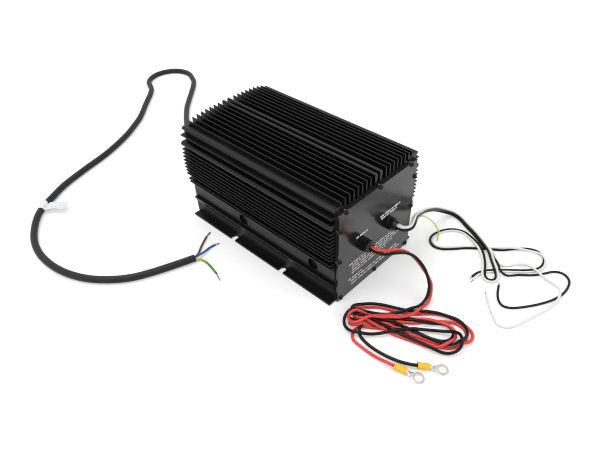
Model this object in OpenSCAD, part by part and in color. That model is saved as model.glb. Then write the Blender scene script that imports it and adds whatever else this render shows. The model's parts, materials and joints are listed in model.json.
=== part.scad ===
// Sealed battery charger in a finned aluminium extrusion, with its mains cable and output leads.
// Millimetres. X runs across the end plates, Y from the lead end (front, -Y) to the mains end, Z up.
// The origin is on the floor, under the middle of the housing.

/* [Housing] */
// Length of the cover and tray extrusions
body_l = 270; // [255:1:330]
// Width across the outer faces of the side walls
core_w = 151; // [147:1:165]
// Height of the top wall's outer face
deck_z = 142.5; // [141:0.5:152]
// Thickness of the top wall and of the upper side walls
wall_t = 4; // [3.5:0.1:4.5]
// Height of the joint between the cover and the tray
joint_z = 31.5; // [30:0.5:33]
// Height of the thick rail along the bottom of each cover wall
rail_h = 27; // [24:0.5:29]
// Thickness of that rail
rail_t = 7; // [6.5:0.1:8]
// Outer radius of the screw ports along the walls
port_r = 3.8; // [3.4:0.1:4.2]

/* [Top fins] */
// Number of thin fins on each side of the thick pair
top_fin_count = 8; // [5:1:8]
// Spacing of the thin top fins
top_fin_pitch = 7.5; // [6.6:0.1:7.6]
// Distance from the middle to the first thin fin
top_fin_start = 14.4; // [13:0.1:15]
// Height of the top fins above the top wall
top_fin_h = 16; // [10:0.5:22]
// Fall of the outermost fin's tip below the middle ones
top_fin_fall = 4.8; // [0:0.2:5]
// Thickness of a thin fin at its tip
fin_tip_t = 1.4; // [1:0.1:1.8]
// Thickness of a thin fin at its root
fin_root_t = 2.6; // [2:0.1:3]
// Thickness of the two thick fins
thick_fin_t = 4.6; // [3.6:0.1:5.4]
// Clear gap between the two thick fins
thick_fin_gap = 4.6; // [3.6:0.1:6]

/* [Shoulders] */
// Distance from the middle to the foot of the raised shoulder
shoulder_x = 56; // [52:0.5:60]
// Height of the shoulder above the top wall
shoulder_h = 6.6; // [4:0.2:8]
// How far the rounded lip stands out from the side wall
lip_reach = 4; // [3:0.2:6]
// Radius of the lip
lip_r = 2; // [1.4:0.1:2.4]

/* [Side fins] */
// Number of evenly spaced thin fins on each side
side_fin_count = 8; // [4:1:8]
// Spacing of the thin side fins
side_fin_pitch = 5.75; // [5:0.05:5.8]
// Height of the uppermost of those fins
side_fin_z = 116.6; // [114:0.1:117]
// How far the longest side fin stands out from the wall
side_fin_reach = 10.7; // [7:0.1:14]
// How much the lowest fin falls short of the longest
side_fin_fall = 3.5; // [0:0.1:4]
// Heights of the two fins above the smooth wall, lowest first
low_fin_z = [60.9, 66.5];
// Height of the thick side fin
thick_side_z = 125; // [123:0.5:127]
// Thickness of the thick side fin
thick_side_t = 7; // [5:0.2:8]
// How far the thick side fin stands out from the wall
thick_side_reach = 9.5; // [6:0.1:12]
// Height of the single fin under the shoulder
shoulder_fin_z = 138; // [135:0.5:138]
// How far that single fin stands out from the wall
shoulder_fin_reach = 8; // [5:0.1:10]
// Height at which the wall starts to flare out to the lowest fin
flare_z = 47; // [44:0.5:50]

/* [Side pockets] */
// Places of the screw pockets along the body, from its middle
pocket_y = [-99, 30];
// Diameter of a screw pocket
pocket_d = 16; // [14:0.5:16]
// Depth of a screw pocket
pocket_depth = 4.2; // [3.5:0.1:4.5]
// Height of the pockets' centres
pocket_z = 42.5; // [41:0.5:43]

/* [Tray] */
// How far each mounting flange stands out past the case's core
flange_reach = 9.5; // [6.5:0.5:19.5]
// Thickness of the mounting flanges
flange_t = 3; // [2.5:0.1:4]
// Thickness of the tray's floor
floor_t = 4; // [3:0.1:5]
// Thickness of the tray's side walls
tray_wall_t = 4; // [3.5:0.1:5]
// How far the tray's lip stands out from its wall
tray_lip_reach = 4; // [2:0.1:6]
// Height of the sloping underside of that lip
tray_lip_h = 11.5; // [6:0.5:14]
// Thickness of the lip at its edge
tray_lip_edge = 1.2; // [0.8:0.1:2]
// Height of the tongue and groove between cover and tray
tongue_h = 4; // [3:0.2:6]
// Thickness of the tongue
tongue_t = 1.8; // [1.4:0.1:2]
// Clearance around the tongue
tongue_gap = 0.1; // [0.05:0.05:0.2]

/* [Mounting slots] */
// Width of the open slots in the flanges
slot_w = 9; // [6.5:0.1:10]
// Depth of the slots from the flange's edge
slot_depth = 9.5; // [8:0.1:9.5]
// Distance between the two slots of one flange
slot_spacing = 96; // [60:1:200]

/* [End plates] */
// Thickness of the end plates
plate_t = 3; // [2:0.1:4]
// Thickness of the gaskets behind them
gasket_t = 1; // [0.6:0.1:2]
// How far a plate stays inside the outer faces of the walls
plate_inset = 1.5; // [0.5:0.1:2]
// Radius of the ears around the screws
ear_r = 4.3; // [4:0.1:4.6]
// Width of the gasket's rim
gasket_rim = 9; // [8:0.5:10]
// Height of the upper side screws
upper_screw_z = 116; // [106:0.5:120]
// Height of the middle side screws
middle_screw_z = 68.5; // [67:0.1:72]
// Distance from the middle to the outer top screws
top_screw_x = 62; // [50:1:64]
// Distance from the middle to the outer bottom screws
bottom_screw_x = 68; // [60:0.5:68]
// Height of the bottom screws
bottom_screw_z = 4.6; // [4.4:0.1:5]

/* [Screws] */
// Bore of the screw ports
port_bore = 3.7; // [3:0.1:4]
// Clearance of a screw in its port
port_gap = 0.1; // [0.05:0.05:0.2]
// Clearance hole through plates
clear_hole = 4.5; // [4.3:0.1:4.8]
// Diameter of a screw head
head_d = 7; // [6:0.1:7.6]
// Height of a screw head
head_h = 2.6; // [2:0.1:3]
// Length of an end screw under its head
end_screw_l = 16; // [12:1:25]
// Across the flats of the hexagon socket
socket_af = 2.5; // [2:0.1:3]

/* [Cord grips] */
// Distance of the output grip from the middle
output_x = -32; // [-44:1:-24]
// Distance of the signal grip from the middle
signal_x = 20; // [6:1:34]
// Distance of the mains grip from the middle
mains_x = 20; // [-40:1:40]
// Height of the two lead grips
grip_z = 74; // [70:0.5:86]
// Height of the mains grip
mains_z = 80; // [70:0.5:86]
// Length of a lead grip in front of the plate
grip_l = 16; // [15.5:0.5:20]
// Body diameter of a lead grip
grip_d = 17.4; // [15:0.2:20]
// Thread diameter of a lead grip
grip_thread = 12.5; // [11:0.1:14]
// Length of the mains grip behind the plate
mains_grip_l = 32; // [28:0.5:40]
// Body diameter of the mains grip
mains_grip_d = 23; // [21:0.5:26]
// Thread diameter of the mains grip
mains_thread = 16; // [14:0.1:20]
// Clearance of a thread in its plate hole
thread_gap = 0.3; // [0.2:0.1:0.5]
// Thickness of the lock nuts
lock_nut_t = 4.5; // [3:0.1:6]

/* [Inside] */
// Gap between the circuit board and the tray's side walls
board_gap = 7.5; // [5.5:0.5:11.5]
// Length of the circuit board
board_l = 240; // [230:1:246]
// Thickness of the circuit board
board_t = 1.6; // [1:0.1:2.4]
// Height of the standoffs under the board
standoff_h = 8; // [6.5:0.5:12]
// Length of the heat spreader bars
bar_l = 196; // [180:1:230]
// Thickness of the heat spreader bars
bar_t = 8; // [7:0.5:10]
// Height of the heat spreader bars
bar_h = 24; // [18:0.5:26]
// Width of the transformer's core
core_x = 62; // [50:1:66]
// Length of the transformer's core
core_y = 58; // [48:1:64]
// Height of the transformer's core
core_h = 56; // [44:1:64]
// Diameter of the bulk capacitors
cap_d = 30; // [22:1:32]
// Height of the bulk capacitors
cap_h = 50; // [30:1:60]
// Outer diameter of the output choke
choke_d = 46; // [36:1:50]

/* [Cables] */
// Diameter of the mains cable
mains_d = 10; // [8:0.5:11]
// Diameter of the output leads
lead_d = 4.6; // [4:0.1:5]
// Diameter of the signal wires
wire_d = 3; // [2.4:0.1:3.2]
// Diameter of the mains conductors
core_d = 3.2; // [2.4:0.1:3.4]
// Diameter of the sensing wire
sense_d = 2; // [1.6:0.1:2.4]

/* [Hidden] */

black_alu = "#1c1d20";
plate_grey = "#3a3b3e";
eps = 0.01;
half_w = core_w / 2;
half_l = body_l / 2;
cavity_x = half_w - wall_t;
rail_x = half_w - rail_t;
tray_x = half_w;
tray_in = tray_x - tray_wall_t;
flange_w = 2 * (half_w + flange_reach);
board_w = 2 * (tray_in - board_gap);
lip_z = deck_z + 4;
face_y = half_l + gasket_t + plate_t;
top_fin_end = top_fin_start + (top_fin_count - 1) * top_fin_pitch;
fin_bow_z = 97;
board_z = floor_t + standoff_h;
board_top = board_z + board_t;
grip_base_l = 6.5;
grip_neck_d = 14;
grip_neck_l = 4;
output_bore = 2 * lead_d + 0.8;
signal_bore = 2 * wire_d + sense_d + 1.6;
mains_base_l = 9;
mains_neck_d = mains_d + 7;
mains_neck_l = 8;
seal_l = 8;
seal_recess = 1.5;

// Screw places on one half of an end plate, as X and Z
function plate_screws() = [
    [0, deck_z - port_r], [top_screw_x, deck_z - port_r], [-top_screw_x, deck_z - port_r],
    [half_w - port_r, upper_screw_z], [port_r - half_w, upper_screw_z],
    [half_w - port_r, middle_screw_z], [port_r - half_w, middle_screw_z],
    [bottom_screw_x, bottom_screw_z], [-bottom_screw_x, bottom_screw_z], [0, bottom_screw_z]
];
cover_ports = [for (i = [0:6]) plate_screws()[i]];
tray_ports = [for (i = [7:9]) plate_screws()[i]];

// Height of a top fin's tip at a distance from the middle
function top_tip(x) = deck_z + top_fin_h - top_fin_fall * pow(x / top_fin_end, 4);

// Reach of a thin side fin at a height
function side_reach(z) = side_fin_reach
    - side_fin_fall * pow((z - fin_bow_z) / (fin_bow_z - low_fin_z[0]), 2);

// Draws its children on both sides of the middle
module both_sides() {
    children();
    mirror([1, 0, 0]) children();
}

// Stretches each section, drawn as X and Z, along the body
module along_body() {
    for (i = [0:$children - 1]) translate([0, half_l, 0]) rotate([90, 0, 0]) linear_extrude(body_l) children(i);
}

// Screw ports and their bores along the body
module ports(places) {
    along_body() for (p = places) translate(p) circle(r = port_r, $fn = 32);
}

module port_bores(places) {
    for (p = places) translate([p[0], half_l + 1, p[1]]) rotate([90, 0, 0])
        cylinder(d = port_bore, h = body_l + 2, $fn = 32);
}

// Tapered fin with a round tip, standing on the X axis of its own section
module thin_fin(height) {
    tip_r = fin_tip_t / 2;
    root_r = fin_root_t / 2;
    polygon([[-root_r, -1], [root_r, -1], [root_r, 0], [tip_r, height - tip_r], [-tip_r, height - tip_r],
        [-root_r, 0]]);
    translate([0, height - tip_r]) circle(r = tip_r, $fn = 24);
}

// Thick fin with parallel faces and a round tip
module thick_fin(height, thickness) {
    translate([-thickness / 2, -1]) square([thickness, height + 1 - thickness / 2]);
    translate([0, height - thickness / 2]) circle(d = thickness, $fn = 32);
}

// Half of the fins over the top wall
module top_fins_2d() {
    translate([(thick_fin_gap + thick_fin_t) / 2, deck_z]) thick_fin(top_fin_h, thick_fin_t);
    for (i = [0:top_fin_count - 1]) {
        x = top_fin_start + i * top_fin_pitch;
        translate([x, deck_z]) thin_fin(top_tip(x) - deck_z);
    }
}

// Fins on the right wall
module side_fins_2d() {
    for (i = [0:side_fin_count - 1]) {
        z = side_fin_z - i * side_fin_pitch;
        translate([half_w, z]) rotate(-90) thin_fin(side_reach(z));
    }
    for (z = low_fin_z) translate([half_w, z]) rotate(-90) thin_fin(side_reach(z));
    translate([half_w, thick_side_z]) rotate(-90) thick_fin(thick_side_reach, thick_side_t);
    translate([half_w, shoulder_fin_z]) rotate(-90) thin_fin(shoulder_fin_reach);
}

// Raised shoulder between the top wall and the lip
module shoulder_2d() {
    lip_x = half_w + lip_reach - lip_r;
    crest_x = (shoulder_x + lip_x) / 2 + 4;
    polygon([[shoulder_x, deck_z - 2], [shoulder_x, deck_z], [shoulder_x + 5, deck_z + 2.4],
        [crest_x, deck_z + shoulder_h - 0.4], [crest_x + 6, deck_z + shoulder_h], [lip_x, lip_z + lip_r],
        [lip_x, lip_z - lip_r], [half_w, deck_z - 0.5], [half_w - 1, deck_z - 2]]);
    translate([lip_x, lip_z]) circle(r = lip_r, $fn = 32);
}

// Concave sweep from the smooth wall out to the lowest fin
module flare_2d() {
    reach = side_reach(low_fin_z[0]) - fin_tip_t / 2;
    rise = low_fin_z[0] - flare_z;
    sweep_r = (reach * reach + rise * rise) / (2 * reach);
    difference() {
        translate([half_w - 1, flare_z]) square([reach + 1, rise]);
        translate([half_w + sweep_r, flare_z]) circle(r = sweep_r, $fn = 96);
    }
}

// Right half of the cover's plain wall, with its rail and the tongue under it
module shell_2d() {
    tongue_x = tray_in + tongue_gap;
    tongue_z = joint_z - tongue_h + tongue_gap;
    polygon([[-1, deck_z - wall_t], [cavity_x, deck_z - wall_t], [cavity_x, joint_z + rail_h],
        [rail_x, joint_z + rail_h], [rail_x, joint_z], [tongue_x, joint_z], [tongue_x, tongue_z],
        [tray_in + tongue_t - tongue_gap, tongue_z], [tray_in + tongue_t - tongue_gap, joint_z],
        [half_w, joint_z], [half_w, deck_z], [-1, deck_z]]);
}

module finned_cover() {
    color(black_alu) difference() {
        union() {
            both_sides() along_body() {
                shell_2d();
                shoulder_2d();
                flare_2d();
                top_fins_2d();
                side_fins_2d();
            }
            ports(cover_ports);
        }
        port_bores(cover_ports);
        both_sides() for (y = pocket_y) translate([half_w - pocket_depth, y, pocket_z]) rotate([0, 90, 0]) {
            cylinder(d = pocket_d, h = pocket_depth + side_fin_reach, $fn = 48);
            translate([0, 0, -rail_t]) cylinder(d = clear_hole, h = 2 * rail_t, $fn = 32);
        }
    }
}

// Right half of the tray's section, with its flange and lip
module tray_half_2d() {
    polygon([[-1, 0], [flange_w / 2, 0], [flange_w / 2, flange_t], [tray_x, flange_t],
        [tray_x, joint_z - tray_lip_h], [tray_x + tray_lip_reach, joint_z - tray_lip_edge],
        [tray_x + tray_lip_reach, joint_z], [tray_in + tongue_t, joint_z],
        [tray_in + tongue_t, joint_z - tongue_h], [tray_in, joint_z - tongue_h], [tray_in, floor_t],
        [-1, floor_t]]);
}

module base_tray() {
    slot_in = flange_w / 2 - slot_depth + slot_w / 2;
    color(black_alu) difference() {
        union() {
            both_sides() along_body() tray_half_2d();
            ports(tray_ports);
        }
        port_bores(tray_ports);
        both_sides() for (side = [-1, 1]) translate([slot_in, side * slot_spacing / 2, -1]) {
            cylinder(d = slot_w, h = flange_t + 2, $fn = 48);
            translate([0, -slot_w / 2, 0]) cube([slot_depth, slot_w, flange_t + 2]);
        }
        for (p = standoff_places()) translate([p[0], p[1], floor_t - stud_l])
            cylinder(d = board_thread, h = stud_l + 1, $fn = 24);
    }
}

// Outline of an end plate, with an ear around each screw
module plate_2d() {
    translate([plate_inset - half_w, 1]) square([core_w - 2 * plate_inset, deck_z - 1.7 - 1]);
    for (p = plate_screws()) translate(p) circle(r = ear_r, $fn = 48);
}

// Plate with its screw holes and cord grip holes, standing on the front face of the body
module end_plate(grips) {
    translate([0, -half_l - gasket_t, 0]) rotate([90, 0, 0]) linear_extrude(plate_t) difference() {
        plate_2d();
        for (p = plate_screws()) translate(p) circle(d = clear_hole, $fn = 32);
        for (g = grips) translate([g[0], g[1]]) circle(d = g[2] + thread_gap, $fn = 48);
    }
}

// Rim gasket behind the front plate
module gasket() {
    translate([0, -half_l, 0]) rotate([90, 0, 0]) linear_extrude(gasket_t) difference() {
        plate_2d();
        translate([gasket_rim - half_w, gasket_rim + 1])
            square([core_w - 2 * gasket_rim, deck_z - 2 * gasket_rim - 2]);
        for (p = plate_screws()) translate(p) circle(d = clear_hole, $fn = 32);
    }
}

// Turns a front piece round to the rear face
module to_rear() {
    mirror([0, 1, 0]) children();
}

module front_plate() {
    color(plate_grey) end_plate([[output_x, grip_z, grip_thread], [signal_x, grip_z, grip_thread]]);
}

module rear_plate() {
    color(plate_grey) to_rear() end_plate([[mains_x, mains_z, mains_thread]]);
}

module front_gasket() {
    color("#141414") gasket();
}

module rear_gasket() {
    color("#141414") to_rear() gasket();
}

// Domed socket screw along +Y, with the underside of its head at the origin
module screw(length, shank_d) {
    dome_r = (head_d * head_d / 4 + head_h * head_h) / (2 * head_h);
    rotate([-90, 0, 0]) {
        cylinder(d = shank_d, h = length, $fn = 32);
        difference() {
            intersection() {
                translate([0, 0, -head_h]) cylinder(d = head_d, h = head_h, $fn = 48);
                translate([0, 0, dome_r - head_h]) sphere(r = dome_r, $fn = 64);
            }
            translate([0, 0, -head_h - 1]) cylinder(d = socket_af / cos(30), h = head_h * 0.6 + 1, $fn = 6);
        }
    }
}

module plate_screw_set() {
    for (p = plate_screws()) translate([p[0], -face_y, p[1]]) screw(end_screw_l, port_bore - port_gap);
}

module front_screws() {
    color("#121214") plate_screw_set();
}

module rear_screws() {
    color("#121214") to_rear() plate_screw_set();
}

// Length of a pocket screw, which stops inside its heat bar
pocket_screw_l = rail_t - pocket_depth + bar_t - 1;

module pocket_screws() {
    color("#121214") both_sides() for (y = pocket_y)
        translate([half_w - pocket_depth, y, pocket_z]) rotate([0, 0, 90]) screw(pocket_screw_l, port_bore - port_gap);
}

// Bar that carries the power devices, clamped against the right wall's rail
module heat_bar() {
    difference() {
        translate([rail_x - bar_t, -bar_l / 2, pocket_z - bar_h / 2 + 2]) cube([bar_t, bar_l, bar_h]);
        for (y = pocket_y) translate([rail_x - bar_t - 1, y, pocket_z]) rotate([0, 90, 0])
            cylinder(d = port_bore, h = bar_t + 2, $fn = 32);
    }
}

module right_heat_bar() {
    color("#b9bbbd") heat_bar();
}

module left_heat_bar() {
    color("#b9bbbd") mirror([1, 0, 0]) heat_bar();
}

// Row of flat power devices on the inner face of a heat bar, standing on the board
device_w = 15.8;
device_t = 5;
device_h = 20;
module device_row(places) {
    device_z = pocket_z - bar_h / 2 + 3;
    for (y = places) translate([rail_x - bar_t - device_t, y - device_w / 2, device_z]) {
        cube([device_t, device_w, device_h]);
        for (lead = [-1, 0, 1]) translate([device_t / 2 - 0.4, device_w / 2 + lead * 5.4 - 0.6, board_top - device_z])
            cube([0.8, 1.2, device_z - board_top + 1]);
    }
}

module switching_transistors() {
    color("#202022") mirror([1, 0, 0]) device_row([-66, -42, 58, 82]);
}

module rectifier_diodes() {
    color("#202022") device_row([-66, -42, -18, 2]);
}

// Places of the board's standoffs
board_margin = 6;
board_thread = 2.9;
stud_l = 2.5;
function standoff_places() = [for (x = [-1, 1]) for (y = [-1, 0, 1])
    [x * (board_w / 2 - board_margin), y * (board_l / 2 - board_margin)]];

module circuit_board() {
    color("#2d5a3a") difference() {
        translate([-board_w / 2, -board_l / 2, board_z]) cube([board_w, board_l, board_t]);
        for (p = standoff_places()) translate([p[0], p[1], board_z - 1])
            cylinder(d = 3.4, h = board_t + 2, $fn = 32);
    }
}

module board_standoffs() {
    color("#c9b26a") for (p = standoff_places()) translate([p[0], p[1], floor_t]) difference() {
        union() {
            cylinder(d = 6.4, h = standoff_h, $fn = 6);
            translate([0, 0, 0.2 - stud_l]) cylinder(d = board_thread, h = stud_l, $fn = 24);
        }
        translate([0, 0, 1]) cylinder(d = board_thread, h = standoff_h, $fn = 24);
    }
}

module board_screws() {
    color("#c0c2c4") for (p = standoff_places()) translate([p[0], p[1], board_top]) {
        cylinder(d = 5.6, h = 2.2, $fn = 32);
        translate([0, 0, 1.5 - board_t - standoff_h])
            cylinder(d = board_thread - 0.1, h = board_t + standoff_h - 1, $fn = 24);
    }
}

transformer_y = 0;
winding_window = 14;

// Two facing E cores round the winding
module transformer_core() {
    leg = 10;
    color("#3a3838") translate([0, transformer_y, board_top]) difference() {
        translate([-core_x / 2, -core_y / 2, 0]) cube([core_x, core_y, core_h]);
        for (side = [-1, 1]) translate([side * (leg + winding_window / 2) - winding_window / 2, -core_y / 2 - 1, leg])
            cube([winding_window, core_y + 2, core_h - 2 * leg]);
    }
}

// Winding through both windows of the core
module transformer_winding() {
    leg = 10;
    gap = 0.4;
    inner = [2 * leg + 2 * gap, core_y + 2 * gap];
    outer = [2 * leg + 2 * winding_window - 2 * gap, core_y + 2 * winding_window - 2 * gap];
    color("#b3702e") translate([0, transformer_y, board_top + leg]) difference() {
        translate([-outer[0] / 2, -outer[1] / 2, 0]) cube([outer[0], outer[1], core_h - 2 * leg]);
        translate([-inner[0] / 2, -inner[1] / 2, -1]) cube([inner[0], inner[1], core_h]);
    }
}

choke_y = -74;
choke_ring = 9;
choke_t = 18;

// Toroid on its side over the board
module output_choke_core() {
    color("#4d6b58") translate([0, choke_y, board_top + 2]) difference() {
        cylinder(d = choke_d, h = choke_t, $fn = 64);
        translate([0, 0, -1]) cylinder(d = choke_d - 2 * choke_ring, h = choke_t + 2, $fn = 64);
    }
}

// Turns round the toroid, each a frame of square wire
module output_choke_winding() {
    turns = 14;
    wire = 2;
    color("#b3702e") translate([0, choke_y, board_top]) for (i = [0:turns - 1]) rotate(i * 360 / turns)
        translate([choke_d / 2 - choke_ring - wire, -wire / 2, 0]) difference() {
            cube([choke_ring + 2 * wire, wire, choke_t + 2 * wire]);
            translate([wire, -1, wire]) cube([choke_ring, wire + 2, choke_t]);
        }
}

filter_y = 96;

module filter_choke() {
    color("#5c4a3a") translate([0, filter_y, board_top]) difference() {
        translate([-16, -14, 0]) cube([32, 28, 26]);
        translate([-6, -15, 8]) cube([12, 30, 10]);
    }
}

module bulk_capacitors() {
    color("#26303c") for (side = [-1, 1]) translate([side * (cap_d / 2 + 1) - 8, 62, board_top])
        cylinder(d = cap_d, h = cap_h, $fn = 48);
}

module relay() {
    color("#1f4a7a") translate([-46, filter_y - 10, board_top]) cube([28, 14, 20]);
}

module fuse() {
    color("#c8c4b8") translate([-48, filter_y + 16, board_top]) {
        translate([0, 0, 6]) rotate([0, 90, 0]) cylinder(d = 6, h = 28, $fn = 32);
        for (x = [2, 21]) translate([x, -4, 0]) cube([5, 8, 6]);
    }
}

way_pitch = 9;
block_w = 12;

// Block of screw terminals
module terminal_block(ways) {
    difference() {
        cube([ways * way_pitch, block_w, 14]);
        for (i = [0:ways - 1]) translate([(i + 0.5) * way_pitch, block_w / 2, 5]) cylinder(d = 4.4, h = 10, $fn = 24);
    }
}

module input_terminals() {
    color("#2f6b45") translate([board_w / 2 - 2 * board_margin - 1 - 3 * way_pitch, board_l / 2 - 2 - block_w, board_top])
        terminal_block(3);
}

module output_terminals() {
    color("#2f6b45") translate([output_x - way_pitch, 4 - board_l / 2, board_top]) terminal_block(2);
}

// Fluted collar with its flutes along its axis
module fluted(d, length, flutes) {
    flute_d = 1.5;
    difference() {
        cylinder(d = d, h = length, $fn = 64);
        for (i = [0:flutes - 1]) rotate(i * 360 / flutes) translate([d / 2 + 0.2, 0, -1])
            cylinder(d = flute_d, h = length + 2, $fn = 16);
    }
}

// Places a grip's own pieces, drawn along +Z from the plate's face, on the front plate
module on_front(x) {
    translate([x, -face_y, grip_z]) rotate([90, 0, 0]) children();
}

// The same on the rear plate
module on_rear(x) {
    translate([x, face_y, mains_z]) rotate([-90, 0, 0]) children();
}

// Grip's base: a fluted body in front of the plate, its thread, and a smooth neck for the nut
module grip_base(d, length, thread_d, neck_d, neck_l, bore) {
    difference() {
        union() {
            fluted(d, length, 20);
            translate([0, 0, length - eps]) cylinder(d = neck_d, h = neck_l + eps, $fn = 48);
            translate([0, 0, -plate_t - gasket_t - lock_nut_t - 2])
                cylinder(d = thread_d, h = plate_t + gasket_t + lock_nut_t + 2 + eps, $fn = 48);
        }
        translate([0, 0, -plate_t - gasket_t - lock_nut_t - 3])
            cylinder(d = bore, h = plate_t + gasket_t + lock_nut_t + length + neck_l + 4, $fn = 48);
    }
}

// Grip's nut: a fluted ring, and a nose that tapers from its shoulder to the cord's exit
module grip_nut(d, ring_l, total_l, shoulder_d, nose_d, neck_d, neck_l, bore) {
    difference() {
        union() {
            fluted(d, ring_l, 20);
            translate([0, 0, ring_l - eps])
                cylinder(d1 = shoulder_d, d2 = nose_d, h = total_l - ring_l + eps, $fn = 64);
        }
        translate([0, 0, -1]) cylinder(d = neck_d + 0.2, h = neck_l + 1.2, $fn = 48);
        translate([0, 0, -2]) cylinder(d = bore, h = total_l + 4, $fn = 48);
    }
}

module lock_nut(thread_d) {
    translate([0, 0, -plate_t - gasket_t - lock_nut_t - 0.5]) difference() {
        cylinder(d = (thread_d + 5) / cos(30), h = lock_nut_t, $fn = 6);
        translate([0, 0, -1]) cylinder(d = thread_d + 0.1, h = lock_nut_t + 2, $fn = 48);
    }
}

module output_grip() {
    color("#17181a") on_front(output_x)
        grip_base(grip_d, grip_base_l, grip_thread, grip_neck_d, grip_neck_l, output_bore);
}

module output_grip_nut() {
    color("#17181a") on_front(output_x) translate([0, 0, grip_base_l])
        grip_nut(grip_d - 0.6, 6.5, grip_l - grip_base_l, grip_d - 2, output_bore + 2.6, grip_neck_d, grip_neck_l,
            output_bore);
}

module output_lock_nut() {
    color("#17181a") on_front(output_x) lock_nut(grip_thread);
}

module signal_grip() {
    color("#17181a") on_front(signal_x)
        grip_base(grip_d, grip_base_l, grip_thread, grip_neck_d, grip_neck_l, signal_bore);
}

module signal_grip_nut() {
    color("#17181a") on_front(signal_x) translate([0, 0, grip_base_l])
        grip_nut(grip_d - 0.6, 4.4, grip_l - grip_base_l, signal_bore + 3.6, signal_bore + 2.4, grip_neck_d, grip_neck_l,
            signal_bore);
}

module signal_lock_nut() {
    color("#17181a") on_front(signal_x) lock_nut(grip_thread);
}

module mains_grip() {
    color("#17181a") on_rear(mains_x)
        grip_base(mains_grip_d, mains_base_l, mains_thread, mains_neck_d, mains_neck_l, mains_d + 0.4);
}

module mains_grip_nut() {
    color("#17181a") on_rear(mains_x) translate([0, 0, mains_base_l])
        grip_nut(mains_grip_d - 1, 10, mains_grip_l - mains_base_l, mains_grip_d - 2.4, mains_d + 3, mains_neck_d,
            mains_neck_l, mains_d + 0.4);
}

module mains_lock_nut() {
    color("#17181a") on_rear(mains_x) lock_nut(mains_thread);
}

// Rubber seal inside a grip's nut, which the cords come out of
module seal(d, total_l) {
    translate([0, 0, total_l - seal_recess - seal_l]) cylinder(d = d, h = seal_l, $fn = 48);
}

module output_seal() {
    color("#101010") on_front(output_x) seal(output_bore, grip_l);
}

module signal_seal() {
    color("#101010") on_front(signal_x) seal(signal_bore, grip_l);
}

module mains_seal() {
    color("#101010") on_rear(mains_x) seal(mains_d + 0.4, mains_grip_l);
}

// Point of a smooth curve between b and c, with t from 0 to 1
function curve_at(a, b, c, d, t) =
    0.5 * (2 * b + (c - a) * t + (2 * a - 5 * b + 4 * c - d) * t * t + (3 * b - a - 3 * c + d) * t * t * t);

// Angle by which a path turns at its point i
function turn_at(p, i) = i <= 0 || i >= len(p) - 1 ? 0 :
    acos(min(1, unit(p[i] - p[i - 1]) * unit(p[i + 1] - p[i])));

// Number of rings for the stretch after point i: two where it bends, one where it is nearly straight
function ring_count(p, i) = max(turn_at(p, i), turn_at(p, i + 1)) > 16 ? 2 : 1;

// Smooth path through all the points of a route
function smooth_path(p) = let (last = len(p) - 1) [
    for (i = [0:last - 1]) let (n = ring_count(p, i)) for (s = [0:n - 1])
        curve_at(p[max(i - 1, 0)], p[i], p[i + 1], p[min(i + 2, last)], s / n),
    p[last]
];

function unit(v) = v / norm(v);

// Part of a vector that is square to t, as a unit vector
function square_to(v, t) = unit(v - (v * t) * t);

// Direction of a path at each point
function headings(p) = [for (i = [0:len(p) - 1]) unit(p[min(i + 1, len(p) - 1)] - p[max(i - 1, 0)])];

// Sideways direction at each point, carried along so that the tube doesn't twist
function carried_sides(t) = [
    for (i = 0, n = square_to([0, 0, 1], t[0]); i < len(t);
        n = i + 1 < len(t) ? square_to(n, t[i + 1]) : n, i = i + 1) n
];

// Round tube along a path
module tube(path, d, sides) {
    t = headings(path);
    n = carried_sides(t);
    count = len(path);
    points = [for (i = [0:count - 1], k = [0:sides - 1]) let (a = 360 * k / sides)
        path[i] + d / 2 * (cos(a) * n[i] + sin(a) * cross(t[i], n[i]))];
    walls = [for (i = [0:count - 2], k = [0:sides - 1]) let (m = (k + 1) % sides, base = i * sides)
        [base + k, base + sides + k, base + sides + m, base + m]];
    start_cap = [for (k = [0:sides - 1]) k];
    end_cap = [for (k = [sides - 1:-1:0]) (count - 1) * sides + k];
    polyhedron(points, concat([start_cap], walls, [end_cap]));
}

// Route of one strand that keeps a distance from the middle of its bundle.
// Each point of the bundle is X, Y, Z and the bundle's roll, and the phase is the strand's place round it.
function strand(bundle, distance, phase) = [
    for (i = [0:len(bundle) - 1]) let (
        p = bundle[i],
        ahead = bundle[min(i + 1, len(bundle) - 1)] - bundle[max(i - 1, 0)],
        left = unit([-ahead[1], ahead[0], 0]),
        up = unit(cross([ahead[0], ahead[1], ahead[2]], left)),
        a = phase + p[3]
    ) [p[0], p[1], p[2]] + distance * (cos(a) * left + sin(a) * up)
];

// Front cords: Y is measured from the front plate's outer face
module before_front() {
    translate([0, -face_y, 0]) children();
}

// Rear cords: Y is measured from the rear plate's outer face
module behind_rear() {
    translate([0, face_y, 0]) children();
}

front_exit = seal_recess - grip_l;
rear_exit = mains_grip_l - seal_recess;

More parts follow.
